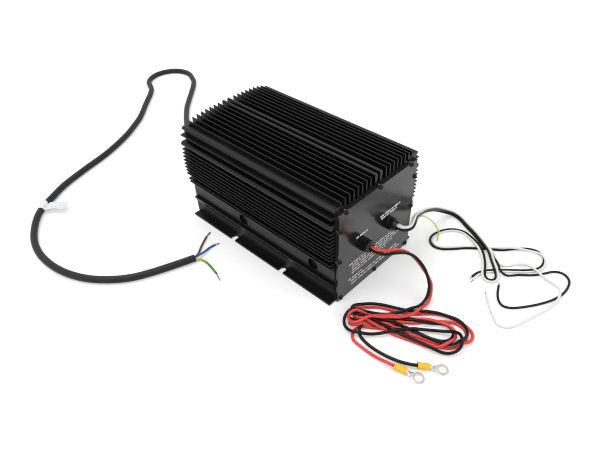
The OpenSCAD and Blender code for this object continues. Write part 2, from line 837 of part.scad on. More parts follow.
// Mains cable: down to the floor, out behind, and back past the left side in one wide sweep
tag_place = [-234, 181, 6];
turn_middle = [152, 394, 5];
turn_r = 46;
mains_route = concat([
    [mains_x, rear_exit, mains_z], [mains_x, rear_exit + 16, mains_z], [21, 68, 77], [24, 91, 68], [29, 118, 53],
    [36, 146, 35], [46, 173, 19], [60, 203, 9.5], [82, 235, 6], [106, 265, 5.2], [130, 293, 5], [151, 316.5, 5],
    [169, 337, 5], [182, 354, 5]
], [for (a = [-30:15:165]) turn_middle + turn_r * [cos(a), sin(a), 0]], [
    [101, 387, 5], [90.5, 368, 5], [77, 350.5, 5], [60, 333.5, 5], [40, 316, 5], [19, 300, 5], [-3, 284.5, 5],
    [-27, 269, 5], [-52, 256, 5], [-76, 245.5, 5], [-99, 237, 5], [-141, 225, 5], [-184, 210, 5.2],
    [-214, 193, 5.8], tag_place,
    [-252, 165, 5.8], [-270, 139, 5.2], [-282, 113, 5], [-288, 85, 5], [-288, 55, 5], [-282, 24, 5],
    [-269, -6, 5], [-250, -31, 5], [-228, -50, 5], [-203, -63, 5], [-175, -74, 5], [-147, -84, 5]
]);
mains_end = mains_route[len(mains_route) - 1];
live_route = [
    mains_end + [0.6, 1.9, -1.1], [-137, -78, 2.6], [-126, -70, 1.8], [-115, -63, 1.8], [-106, -58, 1.8]
];
neutral_route = [mains_end + [0, 0, 2.1], [-137, -84, 5.2], [-128, -82, 3], [-118, -80, 1.8], [-109, -81, 1.8]];
earth_route = [
    mains_end + [-0.6, -1.9, -1.1], [-142, -90, 2.8], [-140, -99, 1.9], [-142, -113, 1.8], [-145, -127, 1.8]
];
live_tip = [-96, -54, 1.2];
neutral_tip = [-103, -83, 1.2];
earth_tip = [-149, -139, 1.2];

module mains_cable() {
    color("#2a2b2d") behind_rear() tube(smooth_path(mains_route), mains_d, 12);
}

// Folded paper tag: a band round the cable and a stiff flag that stands out from it
module mains_tag() {
    band_l = 18;
    paper_t = 0.5;
    flag_l = 30;
    band_in = mains_d / 2 + 0.45;
    color("#eceef0") behind_rear() translate(tag_place) rotate(-141) rotate([0, 90, 0])
        translate([0, 0, -band_l / 2]) {
            difference() {
                cylinder(r = band_in + paper_t, h = band_l, $fn = 48);
                translate([0, 0, -1]) cylinder(r = band_in, h = band_l + 2, $fn = 48);
            }
            rotate(98) translate([band_in + paper_t / 2, -paper_t / 2, 0]) cube([flag_l, paper_t, band_l]);
        }
}

module live_conductor() {
    color("#6b4038") behind_rear() tube(smooth_path(live_route), core_d, 8);
}

module neutral_conductor() {
    color("#1f5fa8") behind_rear() tube(smooth_path(neutral_route), core_d, 8);
}

module earth_conductor() {
    color("#7fae3a") behind_rear() tube(smooth_path(earth_route), core_d, 8);
}

// Bare strands at the ends of the three conductors
module stripped_ends() {
    bare_d = 2;
    color("#b98a5a") behind_rear() {
        tube([live_route[4], live_tip], bare_d, 8);
        tube([neutral_route[4], neutral_tip], bare_d, 8);
        tube([earth_route[4], earth_tip], bare_d, 8);
    }
}

// Output leads: side by side out of the grip, down in one curve, and into the hank
lead_gap = lead_d / 2 + 0.3;
lead_route = [
    [output_x, front_exit, grip_z, 90], [output_x, front_exit - 9, grip_z, 90], [-27.5, -33, 74.5, 60],
    [-17, -40, 73.5, 25], [-4, -46.5, 67, -10], [6, -53.5, 56, -40], [11.5, -64, 41, -60], [11, -75, 27, -40],
    [4, -83, 15.5, -10], [-7, -83, 11, 0], [-19, -78, 9, 0]
];
hank_place = [-48, -88];
hank_turn = -64;
hank_half_l = 74;
hank_half_w = 30;
hank_h = 13;

module black_lead() {
    color("#1b1b1d") before_front() tube(smooth_path(strand(lead_route, lead_gap, 180)), lead_d, 10);
}

module red_lead() {
    color("#c8242a") before_front() tube(smooth_path(strand(lead_route, lead_gap, 0)), lead_d, 10);
}

// Outer shape of the loose hank of both leads
module lead_hank() {
    straight = hank_half_l - hank_half_w;
    color("#8a2226") before_front() translate(hank_place) rotate(hank_turn) linear_extrude(hank_h) {
        translate([-straight, -hank_half_w]) square([2 * straight, 2 * hank_half_w]);
        for (side = [-1, 1]) translate([side * straight, 0]) circle(r = hank_half_w, $fn = 64);
    }
}

// Crimped ring terminals on the leads, tilted a little so that each ring's tip lies on the floor
ring_hole = 8.4;
ring_d = 14.4;
ring_t = 1;
ring_reach = 28;
sleeve_d = 8.4;
sleeve_l = 14.6;
barrel_in = 5;
barrel_d = lead_d + 0.1;
terminal_tilt = 5.1;
terminal_z = sleeve_d / 2 + sleeve_l * sin(terminal_tilt);
red_terminal_place = [-105.5, -110.5];
red_terminal_turn = -75;
black_terminal_place = [-88, -128.5];
black_terminal_turn = -53;

// Point on a terminal's axis, at a distance from the open end of its sleeve
function terminal_point(place, turn, x) = [place[0], place[1], terminal_z]
    + x * [cos(turn) * cos(terminal_tilt), sin(turn) * cos(terminal_tilt), -sin(terminal_tilt)];

module on_terminal(place, turn) {
    before_front() translate([place[0], place[1], terminal_z]) rotate(turn) rotate([0, terminal_tilt, 0]) children();
}

module ring_terminal() {
    tongue_w = 6;
    plate_z = -barrel_d / 2;
    rotate([0, 90, 0]) translate([0, 0, barrel_in]) cylinder(d = barrel_d, h = sleeve_l - barrel_in + 2, $fn = 32);
    difference() {
        union() {
            translate([ring_reach, 0, plate_z]) cylinder(d = ring_d, h = ring_t, $fn = 48);
            translate([sleeve_l, -tongue_w / 2, plate_z]) cube([ring_reach - sleeve_l, tongue_w, ring_t]);
        }
        translate([ring_reach, 0, plate_z - 1]) cylinder(d = ring_hole, h = ring_t + 2, $fn = 48);
    }
}

module terminal_sleeve() {
    rotate([0, 90, 0]) difference() {
        cylinder(d = sleeve_d, h = sleeve_l, $fn = 48);
        translate([0, 0, -1]) cylinder(d = barrel_d + 0.1, h = sleeve_l + 2, $fn = 48);
    }
}

red_tail_route = concat(
    [[-95, -41.5, 2.4], [-101, -43.5, 2.4], [-106, -48, 2.4], [-111, -59, 2.4], [-113, -73, 2.5], [-112, -88, 3.2]],
    [for (x = [-8, 0, barrel_in]) terminal_point(red_terminal_place, red_terminal_turn, x)]
);
black_tail_route = concat(
    [[-94, -53, 2.4], [-99, -61, 2.4], [-101, -74, 2.4], [-100, -88, 2.4], [-98, -102, 3],
        [-95, -114, 4.4]],
    [for (x = [-6, 0, barrel_in]) terminal_point(black_terminal_place, black_terminal_turn, x)]
);

module red_lead_tail() {
    color("#c8242a") before_front() tube(smooth_path(red_tail_route), lead_d, 10);
}

module black_lead_tail() {
    color("#1b1b1d") before_front() tube(smooth_path(black_tail_route), lead_d, 10);
}

module red_terminal() {
    color("#b8babc") on_terminal(red_terminal_place, red_terminal_turn) ring_terminal();
}

module red_terminal_sleeve() {
    color("#f0b414") on_terminal(red_terminal_place, red_terminal_turn) terminal_sleeve();
}

module black_terminal() {
    color("#b8babc") on_terminal(black_terminal_place, black_terminal_turn) ring_terminal();
}

module black_terminal_sleeve() {
    color("#f0b414") on_terminal(black_terminal_place, black_terminal_turn) terminal_sleeve();
}

// Signal wires: four in one bundle from the grip to the crossing, then in two pairs.
// The first pair goes round a hairpin, the left loop and the right curl, and the second round the right loop.
pair_gap = wire_d / 2 + 0.2;
bundle_gap = pair_gap * sqrt(2);
bundle_route = [
    [signal_x, front_exit, grip_z + 1, 0], [signal_x, front_exit - 5, grip_z + 1, 0], [21.2, -24, 75, 0],
    [24.4, -27.4, 75, 0], [29, -28.8, 75, 0], [34, -28, 74.7, 0], [39.5, -26, 73.7, 0], [46, -23, 71.8, 0],
    [54, -19, 68.5, 0], [70, -13, 61, 0], [92, -8, 50.5, 0], [113, -5, 39.5, -10], [132, -4, 28.5, -20],
    [148, -5, 17.5, -40], [160, -9, 9.5, -60],
    [167, -17, 5, -80], [166, -29, 3.6, -90], [158, -45, 3.8, -90], [149, -62, 5, -90], [136, -82, 6.9, -90]
];
first_pair_route = [
    [127.5, -95.5, 7.8, 0], [119, -104.5, 5.6, 0], [111, -112, 5.1, 0], [104, -118.5, 5.1, 0],
    [100.5, -121.5, 4.6, 0], [97, -124.5, 3.8, 0], [93, -126.5, 2.8, 0], [88.5, -126, 2.2, 0], [85, -123.5, 2, 0],
    [83, -119.5, 2.2, 0], [83.5, -115, 3, 0], [86, -111.5, 4.2, 0], [90, -109, 5, 0], [94.5, -106.5, 5.1, 0],
    [102, -102.5, 5, 0], [111, -97, 4.2, 0], [120, -90, 4.2, 0], [128, -81, 5, 0], [135, -70, 4.2, 0],
    [141.5, -58, 2, 0], [144, -48, 1.7, 0], [141, -37, 1.7, 0], [133, -28, 1.7, 0], [121, -22, 1.7, 0],
    [108, -20, 1.7, 0], [98, -24, 1.7, 0], [93, -33, 1.7, 0], [96, -43, 1.7, 0], [106, -54, 1.7, 0],
    [118, -65, 1.6, 0], [129, -78, 1.6, 0], [139, -92, 1.7, 0], [147, -104, 2.9, 45], [155, -113, 3.5, 90],
    [163, -121, 2.9, 135], [170, -130, 1.9, 180], [174, -140, 1.9, 180], [172, -150, 3, 135], [164, -157, 3.5, 70],
    [153, -160, 2.4, 20], [142, -157, 1.7, 0], [132, -149, 1.7, 0], [123, -139, 1.7, 0], [114, -128, 1.6, 0],
    [104, -117, 1.6, 0], [95, -109, 1.6, 0], [85, -104, 1.6, 0]
];
second_pair_route = [[133, -93, 4.8, 0], [127, -104, 2.6, 0]];

function bundled(phase) = strand(bundle_route, bundle_gap, phase);

black_a_route = concat(bundled(225), strand(first_pair_route, pair_gap, 180), [[76, -101, 1.6]]);
white_a_route = concat(bundled(135), strand(first_pair_route, pair_gap, 0), [[71, -105, 1.6]]);
black_b_route = concat(bundled(315), strand(second_pair_route, pair_gap, 180), [
    [118, -114, 5], [110.5, -123, 5.1], [106, -132, 2.8], [109, -141, 1.7], [118, -151, 1.6], [129, -161, 1.6],
    [142, -168, 1.6], [153, -176, 1.6], [157, -186, 1.6], [152, -195, 1.6], [141, -199, 1.6], [128, -200, 1.6],
    [113, -198, 1.6], [100, -192, 1.6], [86, -184, 1.6], [72, -174, 1.6], [61, -164, 1.6], [57, -155, 1.6],
    [61, -147, 1.6], [71, -140, 1.6], [85, -134, 1.6]
]);
white_b_route = concat(bundled(45), strand(second_pair_route, pair_gap, 0), [
    [122, -114, 1.7], [121, -122, 1.6], [127, -128, 1.6], [135, -135, 1.8], [140, -145, 4.4], [141, -156, 6.8],
    [139, -167, 5], [137, -177, 2.6], [134, -187, 2.6], [127, -195, 4.8], [116, -201, 5], [104, -204, 3],
    [88, -202, 1.6], [70, -196, 1.6], [52, -188, 1.6], [37, -180, 1.6], [28, -172, 1.6], [27, -163, 1.6],
    [34, -154, 1.6], [46, -142, 1.6], [60, -130, 1.6]
]);
sensing_route = [
    [signal_x, front_exit, grip_z - 3.4], [signal_x, front_exit - 6, grip_z - 3.4], [22.5, -26.5, 69], [29, -29.5, 67],
    [39, -27.5, 63.5], [51, -23, 58.5], [64, -19, 53], [77, -16, 47], [90, -14, 39], [102, -12.5, 29.5],
    [112, -13, 19.5], [119, -16, 11], [120, -22, 5.6], [116, -27, 2.4], [108, -28, 1.2]
];

module signal_wire(route) {
    before_front() tube(smooth_path(route), wire_d, 8);
}

module black_signal_wire_a() {
    color("#1b1b1d") signal_wire(black_a_route);
}

module black_signal_wire_b() {
    color("#1b1b1d") signal_wire(black_b_route);
}

module white_signal_wire_a() {
    color("#f2f2f0") signal_wire(white_a_route);
}

module white_signal_wire_b() {
    color("#f2f2f0") signal_wire(white_b_route);
}

module sensing_wire() {
    color("#d8cf5a") before_front() tube(smooth_path(sensing_route), sense_d, 8);
}

// Stripped tips of the signal wires and the sensing wire
module wire_tips() {
    tip_l = 5;
    color("#c9cbcd") before_front()
        for (route = [black_a_route, black_b_route, white_a_route, white_b_route, sensing_route]) {
            end = route[len(route) - 1];
            way = unit(end - route[len(route) - 2]);
            tube([end, end + tip_l * [way[0], way[1], 0]], sense_d * 0.6, 8);
        }
}

finned_cover();
base_tray();
front_plate();
rear_plate();
front_gasket();
rear_gasket();
front_screws();
rear_screws();
pocket_screws();
left_heat_bar();
right_heat_bar();
circuit_board();
board_standoffs();
board_screws();
transformer_core();
transformer_winding();
output_choke_core();
output_choke_winding();
filter_choke();
bulk_capacitors();
switching_transistors();
rectifier_diodes();
relay();
fuse();
input_terminals();
output_terminals();
output_grip();
output_grip_nut();
output_seal();
output_lock_nut();
signal_grip();
signal_grip_nut();
signal_seal();
signal_lock_nut();
mains_grip();
mains_grip_nut();
mains_seal();
mains_lock_nut();
mains_cable();
mains_tag();
live_conductor();
neutral_conductor();
earth_conductor();
stripped_ends();
red_lead();
black_lead();
lead_hank();
red_lead_tail();
black_lead_tail();
red_terminal();
red_terminal_sleeve();
black_terminal();
black_terminal_sleeve();
black_signal_wire_a();
black_signal_wire_b();
white_signal_wire_a();
white_signal_wire_b();
sensing_wire();
wire_tips();
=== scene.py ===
import json
import logging
import math
from collections.abc import Callable, Iterable, Iterator, Sequence
from contextlib import contextmanager
from dataclasses import dataclass, field
from enum import Enum

import bpy
import numpy as np
from mathutils import Matrix, Vector

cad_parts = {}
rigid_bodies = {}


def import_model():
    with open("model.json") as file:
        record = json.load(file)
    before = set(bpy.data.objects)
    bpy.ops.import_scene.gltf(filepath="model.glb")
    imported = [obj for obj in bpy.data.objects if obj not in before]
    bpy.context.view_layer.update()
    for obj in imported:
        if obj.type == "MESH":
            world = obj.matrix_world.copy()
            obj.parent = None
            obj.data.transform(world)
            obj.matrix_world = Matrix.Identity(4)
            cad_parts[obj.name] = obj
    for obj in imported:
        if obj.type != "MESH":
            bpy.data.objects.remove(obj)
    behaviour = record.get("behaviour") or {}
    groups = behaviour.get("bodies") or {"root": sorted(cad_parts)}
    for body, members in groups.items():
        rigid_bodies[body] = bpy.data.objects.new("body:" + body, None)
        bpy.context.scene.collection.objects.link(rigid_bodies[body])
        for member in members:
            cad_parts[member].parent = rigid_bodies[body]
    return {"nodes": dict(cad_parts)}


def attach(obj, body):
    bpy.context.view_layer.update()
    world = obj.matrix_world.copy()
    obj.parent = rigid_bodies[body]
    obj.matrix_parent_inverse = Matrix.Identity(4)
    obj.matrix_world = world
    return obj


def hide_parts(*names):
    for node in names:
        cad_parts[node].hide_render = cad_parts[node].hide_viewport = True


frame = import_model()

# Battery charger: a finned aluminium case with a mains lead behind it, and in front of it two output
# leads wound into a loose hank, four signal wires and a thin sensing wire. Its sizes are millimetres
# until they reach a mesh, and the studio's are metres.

log = logging.getLogger("charger")

MM = 0.001
FACE = 139.0  # half the case's length: the front plate's face stands at -FACE, the rear one's at FACE
ONE_BAND = 0.314  # scale at which a wave texture repeats once in each unit of its coordinate


def linear(code: str) -> tuple[float, float, float, float]:
    """Turns an sRGB colour into the linear one that a shader takes.

    Args:
        code: Six hex digits.

    Returns:
        Red, green, blue and alpha.
    """
    parts = [int(code[i:i + 2], 16) / 255 for i in (0, 2, 4)]
    red, green, blue = (c / 12.92 if c <= 0.04045 else ((c + 0.055) / 1.055) ** 2.4 for c in parts)
    return red, green, blue, 1.0


def add_node(tree: bpy.types.NodeTree, kind: str, settings: dict | None = None,
             links: dict | None = None) -> bpy.types.Node:
    """Adds one shader node.

    Args:
        tree: Node tree of the material or the world.
        kind: Class name of the node.
        settings: Values by input name or number, or by attribute name where no input has it.
        links: Output sockets by the name or number of the input that they feed.

    Returns:
        The new node.
    """
    node = tree.nodes.new(kind)
    for key, value in (settings or {}).items():
        if isinstance(key, int) or key in node.inputs:
            node.inputs[key].default_value = value
        else:
            setattr(node, key, value)
    for key, socket in (links or {}).items():
        tree.links.new(socket, node.inputs[key])
    return node


# Finishes


class Grain(Enum):
    """How a surface was made, which sets the pattern that it carries."""

    DRAWN = "lines along a section drawn through a die"
    CAST = "even fine grain of a moulded, sprayed or pressed surface"
    MILLED = "cutter lines across a bar"
    TURNS = "turns of wire side by side"
    WOVEN = "cloth that shows through a laminate"
    SHEATHED = "faint lines and dust along a cord"


@dataclass(frozen=True)
class Finish:
    """One finish: a real material, and the way in which its surface was made."""

    name: str
    light: str
    dark: str
    rough: tuple[float, float]
    grain: Grain = Grain.CAST
    grain_mm: float = 0.6
    relief_mm: float = 0.01
    cloud_mm: float = 30.0
    metallic: float = 0.0
    specular: float = 0.5
    edge_mm: float = 0.0

    def height(self, tree: bpy.types.NodeTree) -> bpy.types.NodeSocket:
        """Draws the surface's relief.

        Args:
            tree: Node tree of the material.

        Returns:
            Socket with the height, from 0 to 1.
        """
        place = add_node(tree, "ShaderNodeTexCoord").outputs
        per_m = 1000 / self.grain_mm
        die_run, cutter_run = 90, 40  # length of one line along its run, in grain widths
        scale = {
            Grain.DRAWN: (per_m, per_m / die_run, per_m),
            Grain.MILLED: (per_m / cutter_run, per_m, per_m),
            Grain.SHEATHED: (9.0, 0.5, 1.0),  # nine lines round the cord, each twice its girth long
        }.get(self.grain, (per_m, per_m, per_m))
        spread = add_node(tree, "ShaderNodeMapping", {"Scale": scale},
                          {"Vector": place["UV" if self.grain is Grain.SHEATHED else "Object"]})
        spread = spread.outputs["Vector"]
        if self.grain not in (Grain.TURNS, Grain.WOVEN):
            return add_node(tree, "ShaderNodeTexNoise", {"Scale": 1.0, "Detail": 3.0, "Roughness": 0.6},
                            {"Vector": spread}).outputs["Fac"]
        bands = [add_node(tree, "ShaderNodeTexWave",
                          {"Scale": ONE_BAND, "bands_direction": axis, "Distortion": 0.3},
                          {"Vector": spread}).outputs["Fac"]
                 for axis in ("ZX" if self.grain is Grain.WOVEN else "Z")]
        if len(bands) == 1:
            return bands[0]
        return add_node(tree, "ShaderNodeMath", {"operation": "MULTIPLY"},
                        dict(enumerate(bands))).outputs["Value"]

    def tone(self, tree: bpy.types.NodeTree, height: bpy.types.NodeSocket,
             cloud: bpy.types.NodeSocket) -> bpy.types.NodeSocket:
        """Mixes the surface's two tones.

        Args:
            tree: Node tree of the material.
            height: The relief.
            cloud: Slow change over the surface.

        Returns:
            Socket with the colour.
        """
        relief_share = 0.45
        blend = add_node(tree, "ShaderNodeMath", {"operation": "MULTIPLY_ADD", 1: relief_share},
                         {0: height, 2: cloud})
        soft = add_node(tree, "ShaderNodeMapRange", {"From Min": 0.35, "From Max": 1.05},
                        {"Value": blend.outputs["Value"]})
        return add_node(tree, "ShaderNodeMixRGB",
                        {"Color1": linear(self.dark), "Color2": linear(self.light)},
                        {"Fac": soft.outputs["Result"]}).outputs["Color"]

    def material(self) -> bpy.types.Material:
        """Builds the material, or returns it if another piece already has it.

        Returns:
            The material.
        """
        known = bpy.data.materials.get(self.name)
        if known:
            return known
        made = bpy.data.materials.new(self.name)
        made.use_nodes = True
        tree = made.node_tree
        tree.nodes.clear()
        place = add_node(tree, "ShaderNodeTexCoord").outputs["Object"]
        cloud = add_node(tree, "ShaderNodeTexNoise", {"Scale": 1000 / self.cloud_mm, "Detail": 2.0},
                         {"Vector": place}).outputs["Fac"]
        height = self.height(tree)
        rough = add_node(tree, "ShaderNodeMapRange",
                         {"From Min": 0.3, "From Max": 0.7, "To Min": self.rough[0], "To Max": self.rough[1]},
                         {"Value": cloud}).outputs["Result"]
        bump = add_node(tree, "ShaderNodeBump", {"Strength": 1.0, "Distance": self.relief_mm * MM},
                        {"Height": height})
        if self.edge_mm:
            rounded = add_node(tree, "ShaderNodeBevel", {"samples": 4, "Radius": self.edge_mm * MM})
            tree.links.new(rounded.outputs["Normal"], bump.inputs["Normal"])
        shader = add_node(tree, "ShaderNodeBsdfPrincipled",
                          {"Metallic": self.metallic, "Specular IOR Level": self.specular},
                          {"Base Color": self.tone(tree, height, cloud), "Roughness": rough,
                           "Normal": bump.outputs["Normal"]})
        add_node(tree, "ShaderNodeOutputMaterial", None, {"Surface": shader.outputs["BSDF"]})
        return made


@dataclass(frozen=True)
class StripedSheath(Finish):
    """Sheath with a second colour that winds slowly round it, as on an earth conductor.

    The stripe goes round by a share of a turn in each stretch as long as the cord's girth.
    """

    stripe: str = "f0d832"
    turns: float = 0.13

    def tone(self, tree: bpy.types.NodeTree, height: bpy.types.NodeSocket,
             cloud: bpy.types.NodeSocket) -> bpy.types.NodeSocket:
        """Lays the stripe over the sheath's own tone.

        Args:
            tree: Node tree of the material.
            height: The relief.
            cloud: Slow change over the surface.

        Returns:
            Socket with the colour.
        """
        ground = super().tone(tree, height, cloud)
        place = add_node(tree, "ShaderNodeTexCoord").outputs["UV"]
        parts = add_node(tree, "ShaderNodeSeparateXYZ", None, {"Vector": place}).outputs
        turn = add_node(tree, "ShaderNodeMath", {"operation": "MULTIPLY_ADD", 1: self.turns},
                        {0: parts["Y"], 2: parts["X"]})
        once = add_node(tree, "ShaderNodeMath", {"operation": "FRACT"}, {0: turn.outputs["Value"]})
        side = add_node(tree, "ShaderNodeMath", {"operation": "GREATER_THAN", 1: 0.5},
                        {0: once.outputs["Value"]})
        return add_node(tree, "ShaderNodeMixRGB", {"Color2": linear(self.stripe)},
                        {"Fac": side.outputs["Value"], "Color1": ground}).outputs["Color"]


# Dyed anodic film on a drawn section: near black, satin, with hairlines along the fins. The lines are
# drawn 0.9 mm wide, which is coarser than a die leaves, so that they show.
ANODISED = Finish("black_anodised_extrusion", "101012", "09090a", (0.3, 0.4), Grain.DRAWN, grain_mm=0.9,
                  relief_mm=0.012, cloud_mm=45.0, specular=0.26, edge_mm=0.45)
# Folded tray with the same film on rolled sheet: flatter and a little greyer.
ANODISED_SHEET = Finish("black_anodised_sheet", "121213", "0a0a0b", (0.34, 0.46), Grain.CAST,
                        grain_mm=0.7, relief_mm=0.008, cloud_mm=60.0, specular=0.2, edge_mm=0.4)
# Sprayed and levelled enamel on the end plates: smooth grey satin that mirrors the grips softly.
PLATE_ENAMEL = Finish("dark_grey_satin_enamel", "1f1f22", "19191b", (0.17, 0.23), Grain.CAST,
                      grain_mm=0.9, relief_mm=0.003, cloud_mm=70.0, specular=0.52, edge_mm=0.3)
# Cut sheet rubber between plate and case: dull and even.
GASKET = Finish("black_nitrile_sheet", "1b1b1b", "121212", (0.75, 0.85), Grain.CAST, grain_mm=0.5,
                relief_mm=0.02)
# Case-hardened screws with an oil-black film: dark with a tight gleam on the dome.
BLACK_STEEL = Finish("oil_blackened_steel", "121213", "0a0a0b", (0.25, 0.36), Grain.CAST, grain_mm=0.4,
                     relief_mm=0.005, cloud_mm=6.0, metallic=0.1, specular=0.22, edge_mm=0.15)
# Glass-filled nylon from a sparked mould: black satin with a fine grain.
NYLON = Finish("moulded_black_nylon", "0f0f10", "08080a", (0.2, 0.28), Grain.CAST, grain_mm=0.5,
               relief_mm=0.012, cloud_mm=14.0, specular=0.45, edge_mm=0.35)
# Moulded rubber plugs that the cords pass through: dull, with a dry skin.
SEAL_RUBBER = Finish("moulded_black_rubber", "181818", "0f0f0f", (0.6, 0.75), Grain.CAST, relief_mm=0.02)

# Heavy PVC jacket of the mains cable: charcoal, dry, dusted by its own talc along the run.
JACKET = Finish("charcoal_cable_jacket", "28282a", "1b1b1d", (0.4, 0.52), Grain.SHEATHED,
                relief_mm=0.03, cloud_mm=24.0, specular=0.24)
# Extruded soft PVC on the red output lead: an even coral red with a waxy gleam along the run.
RED_PVC = Finish("red_pvc_insulation", "ec504c", "d63c39", (0.3, 0.4), Grain.SHEATHED,
                 relief_mm=0.012, cloud_mm=18.0, specular=0.4)
# The same on the black lead and two signal wires: deep black, so that the gleam is what shows.
BLACK_PVC = Finish("black_pvc_insulation", "121213", "0a0a0b", (0.26, 0.36), Grain.SHEATHED,
                   relief_mm=0.012, cloud_mm=18.0, specular=0.2)
# White insulation of two signal wires: nearly as bright as the table, with a softer gleam.
WHITE_PVC = Finish("white_pvc_insulation", "f4f4f2", "e6e6e3", (0.35, 0.45), Grain.SHEATHED,
                   cloud_mm=18.0, specular=0.4)
# Insulation of the thin sensing wire: a pale lemon yellow.
YELLOW_PVC = Finish("pale_yellow_pvc_insulation", "f6ee8a", "ece070", (0.35, 0.45), Grain.SHEATHED,
                    cloud_mm=18.0, specular=0.4)
# Insulation of the live conductor: a dusty reddish brown.
BROWN_PVC = Finish("brown_pvc_insulation", "8f5f5c", "6d4341", (0.3, 0.4), Grain.SHEATHED,
                   cloud_mm=8.0)
# Insulation of the neutral conductor: a clear middle blue.
BLUE_PVC = Finish("blue_pvc_insulation", "2a72c4", "1b5aa6", (0.3, 0.4), Grain.SHEATHED,
                  cloud_mm=8.0)
# Green PVC with a yellow stripe run in beside it: two clean colours that wind slowly round.
EARTH_PVC = StripedSheath("green_and_yellow_pvc_insulation", "3f9a3a", "2f7f2e", (0.3, 0.4),
                          Grain.SHEATHED, cloud_mm=8.0)
# Drawn, tinned and bunched strands: each wire is modelled, so the finish only adds the draw lines.
TINNED = Finish("tinned_copper_strands", "c9c8c4", "9d9c98", (0.25, 0.38), Grain.SHEATHED,
                cloud_mm=3.0, metallic=1.0)
# Stamped and tin-dipped: pale metal with a soft bloom.
TIN_PLATE = Finish("tin_plated_copper", "dcdcda", "b9b9b6", (0.2, 0.34), Grain.CAST, grain_mm=0.5,
                   relief_mm=0.006, cloud_mm=5.0, metallic=1.0, edge_mm=0.12)
# Soft vinyl sleeve: warm yellow, waxy.
VINYL = Finish("yellow_vinyl_sleeve", "ffd034", "f6bd20", (0.34, 0.44), Grain.CAST, grain_mm=0.4,
               relief_mm=0.008, cloud_mm=5.0, specular=0.45)
# Coated paper label: bright, smooth and a little blue beside the floor.
PAPER = Finish("coated_white_paper", "f0f1f4", "dfe1e6", (0.5, 0.62), Grain.CAST, grain_mm=0.35,
               relief_mm=0.015, cloud_mm=9.0, specular=0.3)
# Screen-printed enamel ink: slightly uneven white.
INK = Finish("white_screen_ink", "fafafc", "e2e2e6", (0.5, 0.6), Grain.CAST, grain_mm=0.5,
             relief_mm=0.006, cloud_mm=3.0, specular=0.3)

# Inside the case, where the finishes are plain

# Milled aluminium bars: bright metal with cutter lines across.
MILLED_BAR = Finish("milled_aluminium", "c9cacc", "a9aaac", (0.3, 0.42), Grain.MILLED, grain_mm=0.7,
                    cloud_mm=20.0, metallic=1.0, edge_mm=0.3)
# Epoxy pressed round a chip: dark grey and matt, with sharp edges.
DEVICE = Finish("black_epoxy_package", "2a2a2c", "1e1e20", (0.5, 0.6), Grain.CAST, grain_mm=0.3,
                cloud_mm=8.0, edge_mm=0.2)
# Glass cloth laminate under green lacquer: the weave shows through faintly.
BOARD = Finish("green_glass_laminate", "2c6b45", "1f5636", (0.3, 0.42), Grain.WOVEN, grain_mm=1.4,
               relief_mm=0.006, cloud_mm=40.0)
# Turned brass standoffs: warm metal with fine rings.
BRASS = Finish("turned_brass", "c9a350", "a5813a", (0.25, 0.36), Grain.TURNS, relief_mm=0.006,
               cloud_mm=8.0, metallic=1.0)
# Zinc plated steel screws: pale, slightly clouded metal.
ZINC = Finish("zinc_plated_steel", "b9bcc0", "93969b", (0.28, 0.4), Grain.CAST, grain_mm=0.5,
              relief_mm=0.006, cloud_mm=6.0, metallic=1.0)
# Pressed and sintered ferrite: charcoal grey like fired clay.
FERRITE = Finish("sintered_ferrite", "3b3b3d", "2b2b2d", (0.55, 0.7), Grain.CAST, relief_mm=0.03,
                 cloud_mm=12.0, edge_mm=0.4)
# Enamelled copper wire wound side by side: amber ridges with a lacquer gleam.
WINDING = Finish("enamelled_copper_wire", "b8683a", "7d3d1c", (0.22, 0.34), Grain.TURNS, grain_mm=1.2,
                 relief_mm=0.25, cloud_mm=14.0, metallic=0.9)
# Shrunk film on capacitor cans: dark blue and glossy.
CAN_SLEEVE = Finish("dark_blue_shrink_sleeve", "25324a", "1a2436", (0.24, 0.34), Grain.CAST, grain_mm=0.8,
                    relief_mm=0.006)
# Injection moulded relay cover: clear blue with soft edges.
RELAY_CASE = Finish("blue_moulded_case", "2a5da8", "1f4a8c", (0.26, 0.36), Grain.CAST, grain_mm=0.7,
                    relief_mm=0.006, edge_mm=0.3)
# Glazed ceramic tube of the fuse: off-white with a mild shine.
CERAMIC = Finish("glazed_off_white_ceramic", "e2ddcc", "cfc9b6", (0.3, 0.42), Grain.CAST, grain_mm=0.5)
# Injection moulded terminal blocks: leaf green and satin.
BLOCK = Finish("green_moulded_terminal_block", "2f8a52", "226c3f", (0.36, 0.46), Grain.CAST, grain_mm=0.5,
               edge_mm=0.3)


# Lines and tubes


def unit(vector: np.ndarray) -> np.ndarray:
    """Returns the vector at length 1."""
    return vector / np.linalg.norm(vector)


def smooth_line(points: Iterable[Sequence[float]], step: float) -> np.ndarray:
    """Runs a smooth line through chosen points.

    Args:
        points: Points in millimetres.
        step: Largest distance between the line's points, measured straight from one chosen point to
            the next.

    Returns:
        The line's points.
    """
    route = np.array([tuple(p)[:3] for p in points], dtype=float)
    line = [route[0]]
    for i in range(len(route) - 1):
        a, b = route[max(i - 1, 0)], route[i]
        c, d = route[i + 1], route[min(i + 2, len(route) - 1)]
        count = max(1, math.ceil(np.linalg.norm(c - b) / step))
        for k in range(1, count + 1):
            t = k / count
            line.append(0.5 * (2 * b + (c - a) * t + (2 * a - 5 * b + 4 * c - d) * t ** 2
                               + (3 * b - a - 3 * c + d) * t ** 3))
    return np.array(line)


def even_line(line: np.ndarray, step: float) -> np.ndarray:
    """Spaces a line's points evenly.

    Args:
        line: Points of the line.
        step: Wanted distance between points.

    Returns:
        The new points, with the same ends.
    """
    far = np.concatenate([[0.0], np.cumsum(np.linalg.norm(np.diff(line, axis=0), axis=1))])
    marks = np.linspace(0, far[-1], max(2, round(far[-1] / step) + 1))
    return np.stack([np.interp(marks, far, line[:, k]) for k in range(3)], axis=1)


